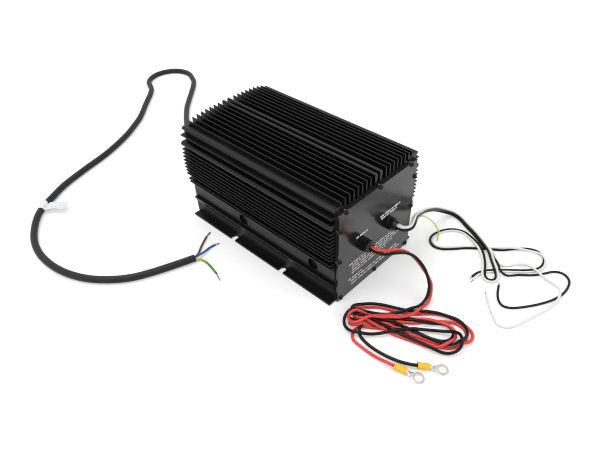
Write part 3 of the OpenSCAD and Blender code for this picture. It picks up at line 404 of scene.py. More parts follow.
def strand(bundle: Sequence[Sequence[float]], distance: float, phase: float) -> list[np.ndarray]:
    """Follows a bundle's line beside it.

    Args:
        bundle: Points with the bundle's roll in degrees as their fourth number.
        distance: Distance from the bundle's line.
        phase: Side of the line, in degrees from the left.

    Returns:
        Points of the strand.
    """
    route = [np.array(p, dtype=float) for p in bundle]
    points = []
    for i, here in enumerate(route):
        ahead = (route[min(i + 1, len(route) - 1)] - route[max(i - 1, 0)])[:3]
        left = unit(np.array([-ahead[1], ahead[0], 0.0]))
        up = unit(np.cross(ahead, left))
        turn = math.radians(phase + here[3])
        points.append(here[:3] + distance * (math.cos(turn) * left + math.sin(turn) * up))
    return points


class CutEnd(Enum):
    """How a tube ends at its far end: steps along it and widths, both in shares of its radius."""

    SNIPPED = ((-0.15, 1.0), (0.0, 0.85))
    STRIPPED = ((-0.1, 1.0), (0.0, 0.94), (0.0, 0.68), (-0.25, 0.66))


TubeParts = tuple[list, list, list]


def tube_parts(line: np.ndarray, radius: float, sides: int, cut: CutEnd = CutEnd.SNIPPED) -> TubeParts:
    """Works out a closed tube round a line.

    Args:
        line: Points of its centre in millimetres.
        radius: Its radius.
        sides: Its number of sides.
        cut: Its far end.

    Returns:
        Vertices in metres, faces, and for each face the map's corners.
    """
    ahead = np.gradient(line, axis=0)
    ahead /= np.linalg.norm(ahead, axis=1)[:, None]
    side = unit(np.cross(ahead[0], [0.0, 0.0, 1.0] if abs(ahead[0][2]) < 0.9 else [1.0, 0.0, 0.0]))
    stations = []
    run = 0.0
    for i, here in enumerate(line):
        side = unit(side - ahead[i] * np.dot(side, ahead[i]))
        if i:
            run += float(np.linalg.norm(here - line[i - 1]))
        steps = ((0.0, 0.85), (0.15, 1.0)) if i == 0 else ((0.0, 1.0),)
        if i == len(line) - 1:
            steps = cut.value
        for along, width in steps:
            stations.append((here + ahead[i] * along * radius, ahead[i], side, width * radius, run))
    corners, faces, maps = [], [], []
    around = 2 * math.pi * radius
    for centre, forward, left, wide, _ in stations:
        up = np.cross(forward, left)
        for k in range(sides):
            turn = 2 * math.pi * k / sides
            corners.append((centre + wide * (math.cos(turn) * left + math.sin(turn) * up)) * MM)
    for i in range(len(stations) - 1):
        low, high = stations[i][4] / around, stations[i + 1][4] / around
        for k in range(sides):
            n = (k + 1) % sides
            faces.append((i * sides + k, i * sides + n, (i + 1) * sides + n, (i + 1) * sides + k))
            near, far = k / sides, (k + 1) / sides
            maps.append(((near, low), (far, low), (far, high), (near, high)))
    for i, turned in ((0, True), (len(stations) - 1, False)):
        corners.append(stations[i][0] * MM)
        hub = len(corners) - 1
        for k in range(sides):
            pair = (i * sides + k, i * sides + (k + 1) % sides)
            faces.append((hub, pair[1], pair[0]) if turned else (hub, pair[0], pair[1]))
            maps.append(((0.5, stations[i][4] / around),) * 3)
    return corners, faces, maps


def tube_object(name: str, parts: Sequence[TubeParts], finish: Finish) -> bpy.types.Object:
    """Makes one object of one or more tubes.

    Args:
        name: Its name.
        parts: The tubes.
        finish: Its finish.

    Returns:
        The object.
    """
    corners, faces, maps = [], [], []
    for own_corners, own_faces, own_maps in parts:
        base = len(corners)
        corners += [tuple(map(float, c)) for c in own_corners]
        faces += [tuple(base + v for v in f) for f in own_faces]
        maps += own_maps
    mesh = bpy.data.meshes.new(name)
    mesh.from_pydata(corners, [], faces)
    chart = mesh.uv_layers.new(name="UVMap")
    chart.data.foreach_set("uv", [value for own in maps for pair in own for value in pair])
    made = bpy.data.objects.new(name, mesh)
    bpy.context.scene.collection.objects.link(made)
    only(made)
    bpy.ops.object.shade_smooth_by_angle(angle=math.radians(50))
    dress(made, finish)
    return made


def twisted_strands(start: np.ndarray, end: np.ndarray, width: float) -> list[TubeParts]:
    """Bunches seven wires, six of them wound round the first.

    Args:
        start: Point where they leave the insulation.
        end: Their tip.
        width: Width of the bunch.

    Returns:
        The wires as tubes.
    """
    ahead = unit(end - start)
    left = unit(np.cross(ahead, [0.0, 0.0, 1.0]))
    up = np.cross(left, ahead)
    wire = width / 6
    twist = 130
    marks = np.linspace(0, 1, 9)
    tubes = [tube_parts(np.array([start + (end - start) * t for t in marks]), wire, 6)]
    for k in range(6):
        turns = [math.radians(60 * k + twist * t) for t in marks]
        spread = [2 * wire * (1 + 0.25 * t * t * (1 + (k % 3) / 3)) for t in marks]
        short = 0.9 + 0.1 * ((k * 5) % 6) / 5
        tubes.append(tube_parts(np.array([
            start + (end - start) * t * short + s * (math.cos(a) * left + math.sin(a) * up)
            for t, s, a in zip(marks, spread, turns)]), wire, 6))
    return tubes


# Modelling by hand


def select_none() -> None:
    """Deselects every object."""
    for other in bpy.context.scene.objects:
        other.select_set(False)


def only(obj: bpy.types.Object) -> None:
    """Selects one object and nothing else.

    Args:
        obj: The object, which also becomes the active one.
    """
    select_none()
    obj.select_set(True)
    bpy.context.view_layer.objects.active = obj


def dress(obj: bpy.types.Object, *finishes: Finish) -> None:
    """Gives an object its finishes.

    Args:
        obj: The object.
        finishes: One finish for each of its slots.
    """
    obj.data.materials.clear()
    for finish in finishes:
        obj.data.materials.append(finish.material())


@contextmanager
def editing(obj: bpy.types.Object, kind: str = "FACE") -> Iterator[Callable]:
    """Opens an object in edit mode with nothing selected.

    Args:
        obj: The object.
        kind: What is selected in it, VERT, EDGE or FACE.

    Yields:
        A function that selects what passes a test of its middle point and normal.
    """
    only(obj)
    bpy.ops.object.mode_set(mode="EDIT")
    bpy.ops.mesh.select_mode(type=kind)
    bpy.ops.mesh.select_all(action="DESELECT")

    def pick(test: Callable[[Vector, Vector], bool]) -> None:
        """Selects what passes a test.

        Args:
            test: Takes the middle point and the normal of a face or vertex.
        """
        bpy.ops.object.mode_set(mode="OBJECT")
        mesh = obj.data
        for group in (mesh.vertices, mesh.edges, mesh.polygons):
            group.foreach_set("select", [False] * len(group))
        if kind == "VERT":
            for vertex in mesh.vertices:
                vertex.select = test(vertex.co, vertex.normal)
        else:
            for polygon in mesh.polygons:
                polygon.select = test(polygon.center, polygon.normal)
        bpy.ops.object.mode_set(mode="EDIT")

    yield pick
    bpy.ops.object.mode_set(mode="OBJECT")


def finish_with(obj: bpy.types.Object, kind: str, **settings: object) -> None:
    """Adds a modifier and applies it.

    Args:
        obj: The object.
        kind: Type of the modifier.
        settings: Its settings.
    """
    only(obj)
    modifier = obj.modifiers.new(kind.title(), kind)
    for key, value in settings.items():
        setattr(modifier, key, value)
    bpy.ops.object.modifier_apply(modifier=modifier.name)


def join(name: str, pieces: Sequence[bpy.types.Object]) -> bpy.types.Object:
    """Joins pieces into one object with its place in its mesh.

    Args:
        name: Name of the whole.
        pieces: The pieces.

    Returns:
        The joined object.
    """
    only(pieces[0])
    for piece in pieces:
        piece.select_set(True)
    if len(pieces) > 1:
        bpy.ops.object.join()
    whole = bpy.context.view_layer.objects.active
    whole.name = whole.data.name = name
    only(whole)
    bpy.ops.object.transform_apply(location=True, rotation=True, scale=True)
    return whole


def place_mesh(obj: bpy.types.Object, matrix: Matrix) -> None:
    """Moves an object's mesh to its place and leaves the object at the origin.

    Args:
        obj: The object.
        matrix: Its place.
    """
    only(obj)
    obj.matrix_world = matrix
    bpy.ops.object.transform_apply(location=True, rotation=True, scale=True)


def drawn_along(name: str, stations: Sequence[tuple[float, float, float, float]], sides: int,
                closed: bool = True) -> bpy.types.Object:
    """Extrudes an oval section along X and reshapes it at each station.

    Args:
        name: Name of the object.
        stations: For each, its X, half width in Y, half height in Z and middle height, in millimetres.
        sides: Number of sides.
        closed: Whether its ends are closed.

    Returns:
        The object.
    """
    select_none()
    x, wide, tall, lift = stations[0]
    bpy.ops.mesh.primitive_circle_add(vertices=sides, radius=MM, fill_type="NGON" if closed else "NOTHING",
                                      location=(x * MM, 0, lift * MM), rotation=(0, math.pi / 2, 0))
    made = bpy.context.active_object
    made.name = name
    bpy.ops.object.transform_apply(location=True, rotation=True, scale=True)
    bpy.ops.object.mode_set(mode="EDIT")
    bpy.ops.mesh.select_all(action="SELECT")
    bpy.ops.transform.resize(value=(1, wide, tall), center_override=(x * MM, 0, lift * MM))
    for (x, wide, tall, lift), (x2, wide2, tall2, lift2) in zip(stations, stations[1:]):
        step = {"value": ((x2 - x) * MM, 0, (lift2 - lift) * MM)}
        if closed:
            bpy.ops.mesh.extrude_region_move(TRANSFORM_OT_translate=step)
        else:
            bpy.ops.mesh.extrude_edges_move(TRANSFORM_OT_translate=step)
        bpy.ops.transform.resize(value=(1, wide2 / wide, tall2 / tall),
                                 center_override=(x2 * MM, 0, lift2 * MM))
    bpy.ops.mesh.select_all(action="SELECT")
    bpy.ops.mesh.normals_make_consistent(inside=False)
    bpy.ops.object.mode_set(mode="OBJECT")
    return made


# View and studio


@dataclass(frozen=True)
class Viewpoint:
    """The camera, placed from the picture's own perspective."""

    place: tuple[float, float, float] = (-428.3, -434.6, 524.5)
    turn: float = 44.79
    tilt: float = 40.61
    roll: float = -2.3
    lens: float = 33.0
    sensor: float = 36.0
    far: float = 20.0  # metres to which it sees

    def build(self) -> None:
        """Makes the camera and gives it to the scene."""
        turn, tilt, roll = (math.radians(a) for a in (self.turn, self.tilt, self.roll))
        ahead = Vector((math.sin(turn) * math.cos(tilt), math.cos(turn) * math.cos(tilt), -math.sin(tilt)))
        level = Vector((math.cos(turn), -math.sin(turn), 0))
        upright = level.cross(ahead)
        right = math.cos(roll) * level + math.sin(roll) * upright
        above = -math.sin(roll) * level + math.cos(roll) * upright
        eye = bpy.data.objects.new("camera", bpy.data.cameras.new("camera"))
        eye.data.lens = self.lens
        eye.data.sensor_width = self.sensor
        eye.data.clip_end = self.far
        pose = Matrix((right, above, -ahead)).transposed().to_4x4()
        pose.translation = Vector(self.place) * MM
        eye.matrix_world = pose
        bpy.context.scene.collection.objects.link(eye)
        bpy.context.scene.camera = eye
        log.info("camera %.1f degrees down", self.tilt)


@dataclass(frozen=True)
class Lamp:
    """One soft box over the table."""

    name: str
    place: tuple[float, float, float]
    size: tuple[float, float]
    power: float

    def build(self, target: Vector) -> None:
        """Hangs the lamp so that it faces the target.

        Args:
            target: Point that it faces.
        """
        light = bpy.data.lights.new(self.name, "AREA")
        light.shape = "RECTANGLE"
        light.size, light.size_y = self.size
        light.energy = self.power
        lamp = bpy.data.objects.new(self.name, light)
        lamp.location = self.place
        lamp.rotation_euler = (target - lamp.location).to_track_quat("-Z", "Y").to_euler()
        bpy.context.scene.collection.objects.link(lamp)


@dataclass(frozen=True)
class Studio:
    """White table, pale surroundings and three soft boxes, with places and sizes in metres.

    Where the eye, metal or glass shows them, table and surroundings are lifted to white. What lights
    the object is the surroundings' own level and the boxes.
    """

    floor_size: float = 9.0
    lamps: tuple[Lamp, ...] = (
        Lamp("overhead_box", (-0.3, 0.5, 2.1), (1.8, 1.4), 24.0),
        Lamp("front_box", (0.5, -1.8, 1.2), (1.4, 1.0), 11.0),
        Lamp("side_box", (-1.9, 0.2, 1.0), (1.2, 0.9), 5.0),
    )
    aim: tuple[float, float, float] = (0.0, 0.0, 0.05)
    sky: float = 0.5
    lift: float = 0.34
    pixel_blur: float = 1.1  # width of the filter in pixels

    def build(self) -> None:
        """Lays the floor and sets the lamps and the surroundings."""
        select_none()
        bpy.ops.mesh.primitive_plane_add(size=self.floor_size, location=(0, 0, 0))
        floor = bpy.context.active_object
        floor.name = "floor"
        floor.data.materials.append(self.table())
        for lamp in self.lamps:
            lamp.build(Vector(self.aim))
        self.surroundings()
        bpy.context.scene.view_settings.view_transform = "Standard"
        bpy.context.scene.cycles.filter_width = self.pixel_blur
        log.info("studio with %d lamps", len(self.lamps))

    def table(self) -> bpy.types.Material:
        """Makes the white table's material, which shows a soft shadow.

        Returns:
            The material.
        """
        made = bpy.data.materials.new("white_table")
        made.use_nodes = True
        tree = made.node_tree
        tree.nodes.clear()
        lit = add_node(tree, "ShaderNodeBsdfDiffuse", {"Color": (0.8, 0.8, 0.8, 1)})
        level = add_node(tree, "ShaderNodeMapRange", {"To Min": 0.0, "To Max": self.lift},
                         {"Value": self.seen(tree)})
        glow = add_node(tree, "ShaderNodeEmission", {"Color": (1, 1, 1, 1)},
                        {"Strength": level.outputs["Result"]})
        both = add_node(tree, "ShaderNodeAddShader", None,
                        {0: lit.outputs["BSDF"], 1: glow.outputs["Emission"]})
        add_node(tree, "ShaderNodeOutputMaterial", None, {"Surface": both.outputs["Shader"]})
        return made

    def surroundings(self) -> None:
        """Makes the world round the table: white where it is seen, paler where it lights."""
        world = bpy.data.worlds.new("pale_room")
        world.use_nodes = True
        tree = world.node_tree
        tree.nodes.clear()
        level = add_node(tree, "ShaderNodeMapRange", {"To Min": self.sky, "To Max": 1.0},
                         {"Value": self.seen(tree)})
        back = add_node(tree, "ShaderNodeBackground", {"Color": (1, 1, 1, 1)},
                        {"Strength": level.outputs["Result"]})
        add_node(tree, "ShaderNodeOutputWorld", None, {"Surface": back.outputs["Background"]})
        bpy.context.scene.world = world

    @staticmethod
    def seen(tree: bpy.types.NodeTree) -> bpy.types.NodeSocket:
        """Tells rays that show the background from rays that light the object.

        Args:
            tree: Node tree of the material or the world.

        Returns:
            Socket that is 1 for what the eye, metal and glass show, and otherwise 0.
        """
        kinds = add_node(tree, "ShaderNodeLightPath").outputs
        total = kinds["Is Camera Ray"]
        for name in ("Is Glossy Ray", "Is Transmission Ray"):
            either = add_node(tree, "ShaderNodeMath", {"operation": "MAXIMUM"}, {0: total, 1: kinds[name]})
            total = either.outputs["Value"]
        return total


# Cords


@dataclass(frozen=True)
class CordFacts:
    """What a cord is before it has a shape."""

    name: str
    nodes: tuple[str, ...]
    slot: str
    finish: Finish
    diameter: float
    length: float
    far_end: str
    stiffness: str
    sides: int = 12
    cut: CutEnd = CutEnd.SNIPPED

    def lay(self, line: np.ndarray, lay: str = "loose", ends: Sequence[bpy.types.Object] = ()) -> None:
        """Args:
            line: Points of its centre in millimetres.
            lay: How it lies; not used.
            ends: Pieces on it; not used.
        """
        parts = tube_parts(line, self.diameter / 2, self.sides, self.cut)
        cord = tube_object(self.name, [parts], self.finish)
        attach(cord, "root")
        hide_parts(*self.nodes)
        run = float(np.linalg.norm(np.diff(line, axis=0), axis=1).sum())
        log.info("%s: %.0f mm", self.name, run)


@dataclass
class CableTag:
    """Paper label folded round the mains cable, with its two ends stuck together as a flag."""

    place: tuple[float, float, float] = (-234.0, 181.0, 6.0)  # in the rear plate's frame
    turn: float = -141.0
    rise: float = 8.0  # degrees by which the flag rises over level
    inner: float = 5.2
    paper: float = 0.24
    width: float = 17.6
    flag: float = 32.0
    apart: float = 0.16  # half the distance of its two sheets
    tucked: float = 0.3  # how far it reaches into the band
    curl: tuple[float, float, float] = (1.8, -2.6, 0.7)  # its arch, droop and skew

    def build(self) -> bpy.types.Object:
        """Makes the band and the curling flag.

        Returns:
            The tag.
        """
        mid = self.inner + self.paper / 2
        band = drawn_along("mains_tag", [(x, mid, mid, 0.0) for x in (-self.width / 2, 0, self.width / 2)],
                           40, closed=False)
        flag = self.flat_flag(mid)
        whole = join("paper_tag", [band, flag])
        finish_with(whole, "SOLIDIFY", thickness=self.paper * MM, offset=0.0)
        finish_with(whole, "BEVEL", width=0.04 * MM, segments=1, limit_method="ANGLE")
        x, y, z = self.place
        place_mesh(whole, Matrix.Translation(Vector((x, y + FACE, z)) * MM)
                   @ Matrix.Rotation(math.radians(self.turn), 4, "Z"))
        only(whole)
        bpy.ops.object.shade_smooth_by_angle(angle=math.radians(40))
        dress(whole, PAPER)
        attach(whole, "root")
        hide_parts("mains_tag")
        log.info("paper tag")
        return whole

    def flat_flag(self, mid: float) -> bpy.types.Object:
        """Makes the flag from a sheet, doubled and curled.

        Args:
            mid: Radius of the band's paper.

        Returns:
            The flag.
        """
        sheets = []
        rise = math.radians(self.rise)
        arch, droop, skew = self.curl
        for gap in (-self.apart, self.apart):
            select_none()
            bpy.ops.mesh.primitive_grid_add(x_subdivisions=6, y_subdivisions=26, size=1)
            sheet = bpy.context.active_object
            for vertex in sheet.data.vertices:
                across, run = vertex.co.x, vertex.co.y + 0.5
                curl = arch * math.sin(math.pi * run) + droop * run * run + skew * across * run
                out = mid - self.tucked + run * self.flag
                opening = gap * (1 + 3 * max(0.0, run - 0.75))
                vertex.co = Vector((across * self.width, out * math.cos(rise),
                                    out * math.sin(rise) + curl + opening)) * MM
            sheets.append(sheet)
        return join("flag", sheets)


@dataclass
class MainsLead:
    """Mains cable from the rear grip to its three stripped conductors, with a paper tag on it.

    Its course is out of the grip, round the far loop and back. A conductor is its name, finish, slot and
    length, its points from the cable's end, and the tip of its strands.
    """

    diameter: float = 10.0
    core: float = 3.2
    strands: float = 2.0  # width of a bunch of strands
    length: float = 1343.0
    turn_middle: tuple[float, float, float] = (157.0, 389.0, 5.0)
    turn_r: float = 45.0
    turn_marks: range = range(-30, 180, 15)  # degrees round it
    out: tuple = (
        (20, 30.5, 80), (20, 46.5, 80), (21, 68, 77), (24, 91, 68), (29, 118, 53), (36, 146, 35),
        (46, 173, 19), (60, 203, 9.5), (82, 235, 6), (106, 265, 5.2), (131, 290, 5), (154, 312, 5),
        (173, 331, 5), (187, 348, 5))
    back: tuple = (
        (105, 384, 5), (90, 367, 5), (74, 352, 5), (57, 336, 5), (38.5, 317.5, 5), (19, 300, 5),
        (-3, 284.5, 5), (-27, 269, 5), (-52, 256, 5), (-76, 245.5, 5), (-99, 237, 5), (-141, 225, 5),
        (-184, 210, 5.2), (-214, 193, 5.8), (-234, 181, 6), (-252, 165, 5.8), (-270, 139, 5.2),
        (-282, 113, 5), (-288, 85, 5), (-288, 55, 5), (-282, 24, 5), (-269, -6, 5), (-250, -31, 5),
        (-228, -50, 5), (-203, -63, 5), (-175, -74, 5), (-147, -84, 5))
    conductors: tuple = (
        ("live_conductor", BROWN_PVC, "brown_insulation", 46.0,
         ((0.6, 1.9, -1.1), (10, 6, -2.4), (21, 14, -3.2), (32, 21, -3.2), (41, 26, -3.2)), (51, 30, -3.8)),
        ("neutral_conductor", BLUE_PVC, "blue_insulation", 38.0,
         ((0, 0, 2.1), (10, 0, 0.2), (19, 2, -2), (29, 4, -3.2), (38, 3, -3.2)), (44, 1, -3.8)),
        ("earth_conductor", EARTH_PVC, "earth_insulation", 43.0,
         ((-0.6, -1.9, -1.1), (5, -6, -2.2), (7, -15, -3.1), (5, -29, -3.2), (2, -43, -3.2)),
         (-2, -55, -3.8)),
    )

    def line(self) -> np.ndarray:
        """Works out the cable's line.

        Returns:
            Its points in millimetres.
        """
        middle = np.array(self.turn_middle)
        bend = [middle + self.turn_r * np.array([math.cos(a), math.sin(a), 0.0])
                for a in map(math.radians, self.turn_marks)]
        line = smooth_line([*self.out, *bend, *self.back], 4.0)
        return line + np.array([0.0, FACE, 0.0])

    def build(self) -> None:
        """Makes the cable, its tag, its conductors and their strands."""
        line = self.line()
        CordFacts("mains_lead", ("mains_cable",), "cable_jacket", JACKET, self.diameter, self.length, "bare",
                  "stiff", sides=24, cut=CutEnd.STRIPPED).lay(line, ends=[CableTag().build()])
        for name, finish, slot, length, offsets, tip in self.conductors:
            points = [line[-1] + np.array(p, dtype=float) for p in offsets]
            tip_at = line[-1] + np.array(tip, dtype=float)
            wires = tube_object(f"{name}_strands", twisted_strands(points[-1], tip_at, self.strands), TINNED)
            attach(wires, "root")
            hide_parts("stripped_ends")
            CordFacts(f"{name}_core", (name,), slot, finish, self.core, length, "bare", "medium").lay(
                smooth_line(points, 1.5), ends=[wires])


@dataclass
class RingTerminal:
    """Crimped ring terminal in a soft sleeve, on the end of an output lead."""

    name: str
    nodes: tuple[str, str]
    place: tuple[float, float]  # of the sleeve's open end, in the front plate's frame
    turn: float
    tilt: float = 5.1  # degrees down to the ring
    reach: float = 28.0  # from the sleeve's open end to the ring's middle
    ring: float = 14.4
    hole: float = 8.4
    sheet: float = 1.0
    barrel: float = 4.7
    sleeve: float = 8.4
    sleeve_l: float = 14.6
    sleeve_wall: float = 0.62
    pressed: tuple = (  # place along the sleeve, and its width and height as shares of its diameter
        (0.0, 1, 1), (0.5, 0.99, 0.99), (2.6, 0.95, 0.95), (3.4, 0.94, 0.93), (4.0, 0.97, 0.8),
        (5.6, 0.99, 0.76), (6.2, 0.94, 0.92), (8.4, 0.93, 0.93), (9.0, 0.97, 0.8), (10.8, 0.99, 0.76),
        (11.4, 0.93, 0.9), (13.5, 0.86, 0.86), (14.6, 0.78, 0.78))

    @property
    def height(self) -> float:
        """Height of the open end's middle over the floor."""
        return self.sleeve / 2 + self.sleeve_l * math.sin(math.radians(self.tilt))

    def point(self, along: float) -> np.ndarray:
        """Gives a point on the terminal's axis.

        Args:
            along: Distance from the sleeve's open end.

        Returns:
            The point, in the front plate's frame.
        """
        turn, tilt = math.radians(self.turn), math.radians(self.tilt)
        ahead = np.array([math.cos(turn) * math.cos(tilt), math.sin(turn) * math.cos(tilt), -math.sin(tilt)])
        return np.array([*self.place, self.height]) + along * ahead

    def build(self) -> list[bpy.types.Object]:
        """Makes the metal and the sleeve.

        Returns:
            Both pieces.
        """
        x, y = self.place
        where = (Matrix.Translation(Vector((x, y - FACE, self.height)) * MM)
                 @ Matrix.Rotation(math.radians(self.turn), 4, "Z")
                 @ Matrix.Rotation(math.radians(self.tilt), 4, "Y"))
        pieces = [self.metal(), self.cover()]
        for piece, node, slot in zip(pieces, self.nodes, ("tinned_metal", "sleeve_yellow")):
            place_mesh(piece, where)
            only(piece)
            bpy.ops.object.shade_smooth_by_angle(angle=math.radians(35))
            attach(piece, "root")
            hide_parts(node)
        dress(pieces[0], TIN_PLATE)
        dress(pieces[1], VINYL)
        log.info("%s terminal", self.name)
        return pieces

    def metal(self) -> bpy.types.Object:
        """Makes the ring, its pressed neck and its barrel.

        Returns:
            The metal, along X.
        """
        low = -self.barrel / 2 + self.sheet / 2  # the ring is in line with the barrel's underside
        select_none()
        bpy.ops.mesh.primitive_cylinder_add(vertices=56, radius=self.ring / 2 * MM, depth=self.sheet * MM,
                                            location=(self.reach * MM, 0, low * MM))
        eye = bpy.context.active_object
        with editing(eye) as pick:
            pick(lambda middle, normal: abs(normal.z) > 0.9)
            bpy.ops.mesh.inset(thickness=(self.ring - self.hole) / 2 * MM, use_individual=True)
            pick(lambda middle, normal: abs(normal.z) > 0.9 and abs(middle.x) < MM and abs(middle.y) < MM)
            bpy.ops.mesh.bridge_edge_loops()
            bpy.ops.mesh.select_all(action="SELECT")
            bpy.ops.mesh.normals_make_consistent(inside=False)
        finish_with(eye, "BEVEL", width=0.22 * MM, segments=2, limit_method="ANGLE",
                    angle_limit=math.radians(50))
        r, half = self.barrel / 2, self.sheet / 2
        neck = drawn_along("neck", [
            (5.0, r, r, 0), (14.8, r, r, 0), (15.6, 2.5, 2.15, -0.15), (16.8, 2.9, 1.5, -0.8),
            (18.0, 3.4, 0.8, low + 0.3), (19.2, 3.8, half, low), (21.2, 4.4, half, low),
            (22.9, 4.8, half * 0.96, low)], 28)
        return join(f"{self.name}_ring_terminal", [eye, neck])

    def cover(self) -> bpy.types.Object:
        """Makes the sleeve, flared at its mouth and pressed in where it is crimped.

        Returns:
            The sleeve, along X.
        """
        r = self.sleeve / 2
        stations = [(x, r * wide, r * tall, 0.0) for x, wide, tall in self.pressed]
        sleeve = drawn_along(f"{self.name}_sleeve", stations, 36, closed=False)
        finish_with(sleeve, "SOLIDIFY", thickness=self.sleeve_wall * MM, offset=-1.0)
        finish_with(sleeve, "BEVEL", width=0.15 * MM, segments=2, limit_method="ANGLE",
                    angle_limit=math.radians(60))
        return sleeve


@dataclass
class OutputLeads:
    """Red and black lead: side by side out of the grip, wound into one loose hank, and to two rings.

    Each lead's course through the hank is planned in layers, wide apart. Then both sink onto the floor
    and onto each other: they fall for a while, are drawn back to their plan for longer, and come to
    rest in the turns that are left.
    """

    diameter: float = 3.9
    beside: float = 0.3  # half the gap between the leads where they run side by side
    step: float = 3.0  # distance between a lead's points
    lowest: float = 2.4  # height of the lowest layer
    spread: float = 2.2  # lift of a planned layer, as a share of its height over the lowest
    stagger: float = 2.7  # how much higher the black lead's layers are
    own_stretch: float = 1.8  # diameters along a lead within which its points don't push each other
    turns: int = 560  # of the settling
    fall_turns: int = 330
    pull_turns: int = 440
    fall: float = 0.14  # in a turn
    pull: float = 0.04  # share of the way back to the plan in a turn
    most: float = 1.2  # farthest move in a turn
    clear: float = 0.45  # gap that the settling leaves between the leads
    crossing: float = 0.25  # least sine of the angle at which two stretches count as crossing
    give: float = 0.3  # share of an overlap that each side moves in a turn
    bend: float = 14.0  # radius to which tighter bends are opened
    stiff: float = 0.35  # the same share, where a bend is tighter
    spans: tuple[int, ...] = (2, 4, 6)  # numbers of steps over which a bend is measured
    ease: tuple[float, float] = (0.2, 0.06)  # share of a kink taken out, while the plan pulls and later
    held: tuple[int, int] = (36, 6)  # points that stay in place, at the grip and at the terminal
    freed: tuple[int, int] = (10, 4)  # points next to them, which are freed little by little
    out: tuple = (
        (-32, -14.5, 74, 90), (-32, -23.5, 74, 90), (-27.5, -33, 74.5, 60), (-17, -40, 73.5, 25),
        (-4, -46.5, 67, -10), (6, -53.5, 56, -40), (11.5, -64, 41, -60), (11, -75, 27, -40),
        (4, -83, 17.5, -10))
    black_turns: tuple = (
        (-17, -80, 11), (-30, -75, 11), (-41, -68, 11), (-54, -55, 11), (-65, -39, 10.5), (-74, -29, 10.5),
        (-84, -24, 10.5), (-95, -26, 10.5), (-101, -33, 10), (-102, -43, 10), (-95, -56, 10), (-81, -70, 10),
        (-64, -85, 9.5), (-46, -101, 9.5), (-33, -114, 9.5), (-26, -127, 9.5), (-22, -138, 9), (-25, -147, 9),
        (-31, -152, 9), (-41, -152, 9), (-50, -147, 8.5), (-56, -135, 8.5), (-60, -113, 8.5), (-64, -94, 8.5),
        (-67, -75, 8), (-73, -57, 8), (-78, -42, 8), (-80, -31, 8), (-78, -23, 8), (-67, -21, 7.5),
        (-57, -25, 7.5), (-47, -34, 7.5), (-39, -47, 7.5), (-33, -63, 7), (-27, -77, 7), (-19, -90, 7),
        (-9, -102, 7), (-4, -115, 6.5), (-1, -126, 6.5), (-3, -136, 6.5), (-9, -145, 6.5), (-19, -149, 6),
        (-32, -148, 6), (-41, -140, 6), (-46, -126, 6), (-50, -108, 5.5), (-53, -91, 5.5), (-57, -77, 5.5),
        (-63, -62, 5.5), (-72, -50, 5.5), (-82, -41, 5), (-87, -31, 5), (-85, -25, 5), (-77, -25, 5),
        (-70, -35, 4.5), (-64, -48, 4.5), (-55, -60, 4.5), (-45, -73, 4.5), (-37, -87, 4), (-29, -100, 4),
        (-20, -112, 4), (-15, -122, 4), (-16, -131, 3.5), (-28, -134, 3.5), (-39, -131, 3.5),
        (-45, -120, 3.5), (-47, -105, 3), (-50, -88, 3), (-55, -73, 3), (-64, -58, 3), (-75, -48, 3.2),
        (-86, -45, 3.6), (-94, -50, 2.9))
    red_turns: tuple = (
        (-18, -86, 11), (-33, -84, 11), (-48, -75, 11), (-66, -61, 10.5), (-79, -48, 10.5), (-91, -38, 10.5),
        (-94, -32, 10.5), (-89, -28, 10), (-81, -31, 10), (-76, -40, 10), (-67, -49, 10), (-54, -59, 9.5),
        (-44, -70, 9.5), (-37, -84, 9.5), (-30, -98, 9.5), (-21, -112, 9.5), (-16, -124, 9), (-18, -133, 9),
        (-26, -140, 9), (-37, -141, 9), (-49, -136, 8.5), (-57, -124, 8.5), (-61, -107, 8.5), (-67, -87, 8.5),
        (-72, -69, 8), (-76, -53, 8), (-79, -39, 8), (-81, -30, 8), (-77, -24, 7.5), (-68, -25, 7.5),
        (-58, -33, 7.5), (-49, -40, 7.5), (-42, -53, 7.5), (-38, -66, 7), (-30, -79, 7), (-17, -92, 7),
        (-7, -104, 7), (-3, -116, 6.5), (-2, -128, 6.5), (-1, -141, 6.5), (-6, -151, 6.5), (-15, -155, 6),
        (-25, -153, 6), (-32, -146, 6), (-42, -137, 6), (-47, -124, 6), (-51, -109, 5.5), (-56, -94, 5.5),
        (-60, -79, 5.5), (-67, -65, 5.5), (-73, -51, 5), (-80, -39, 5), (-87, -31, 5), (-93, -32, 5),
        (-93, -38, 4.5), (-83, -46, 4.5), (-69, -60, 4.5), (-53, -77, 4.5), (-33, -96, 4), (-19, -109, 4),
        (-9, -120, 4), (-4, -130, 4), (-7, -141, 4), (-15, -148, 3.5), (-28, -149, 3.5), (-40, -144, 3.5),
        (-48, -133, 3.5), (-53, -117, 3), (-58, -97, 3), (-64, -79, 3), (-73, -63, 3), (-83, -50, 2.5),
        (-92, -43, 2.5), (-99, -43, 2.5))
    black_tail: tuple = (
        (-99, -61, 2.4), (-101, -74, 2.4), (-100, -88, 2.4), (-98, -102, 3), (-95, -114, 4.4))
    red_tail: tuple = ((-104.5, -48.5, 2.2), (-107.6, -59, 2.1), (-108.7, -72, 2.2), (-108.5, -87, 3))
    red_end: RingTerminal = field(default_factory=lambda: RingTerminal(
        "red", ("red_terminal", "red_terminal_sleeve"), (-105.5, -110.5), -75.0))
    black_end: RingTerminal = field(default_factory=lambda: RingTerminal(
        "black", ("black_terminal", "black_terminal_sleeve"), (-88.0, -128.5), -53.0))

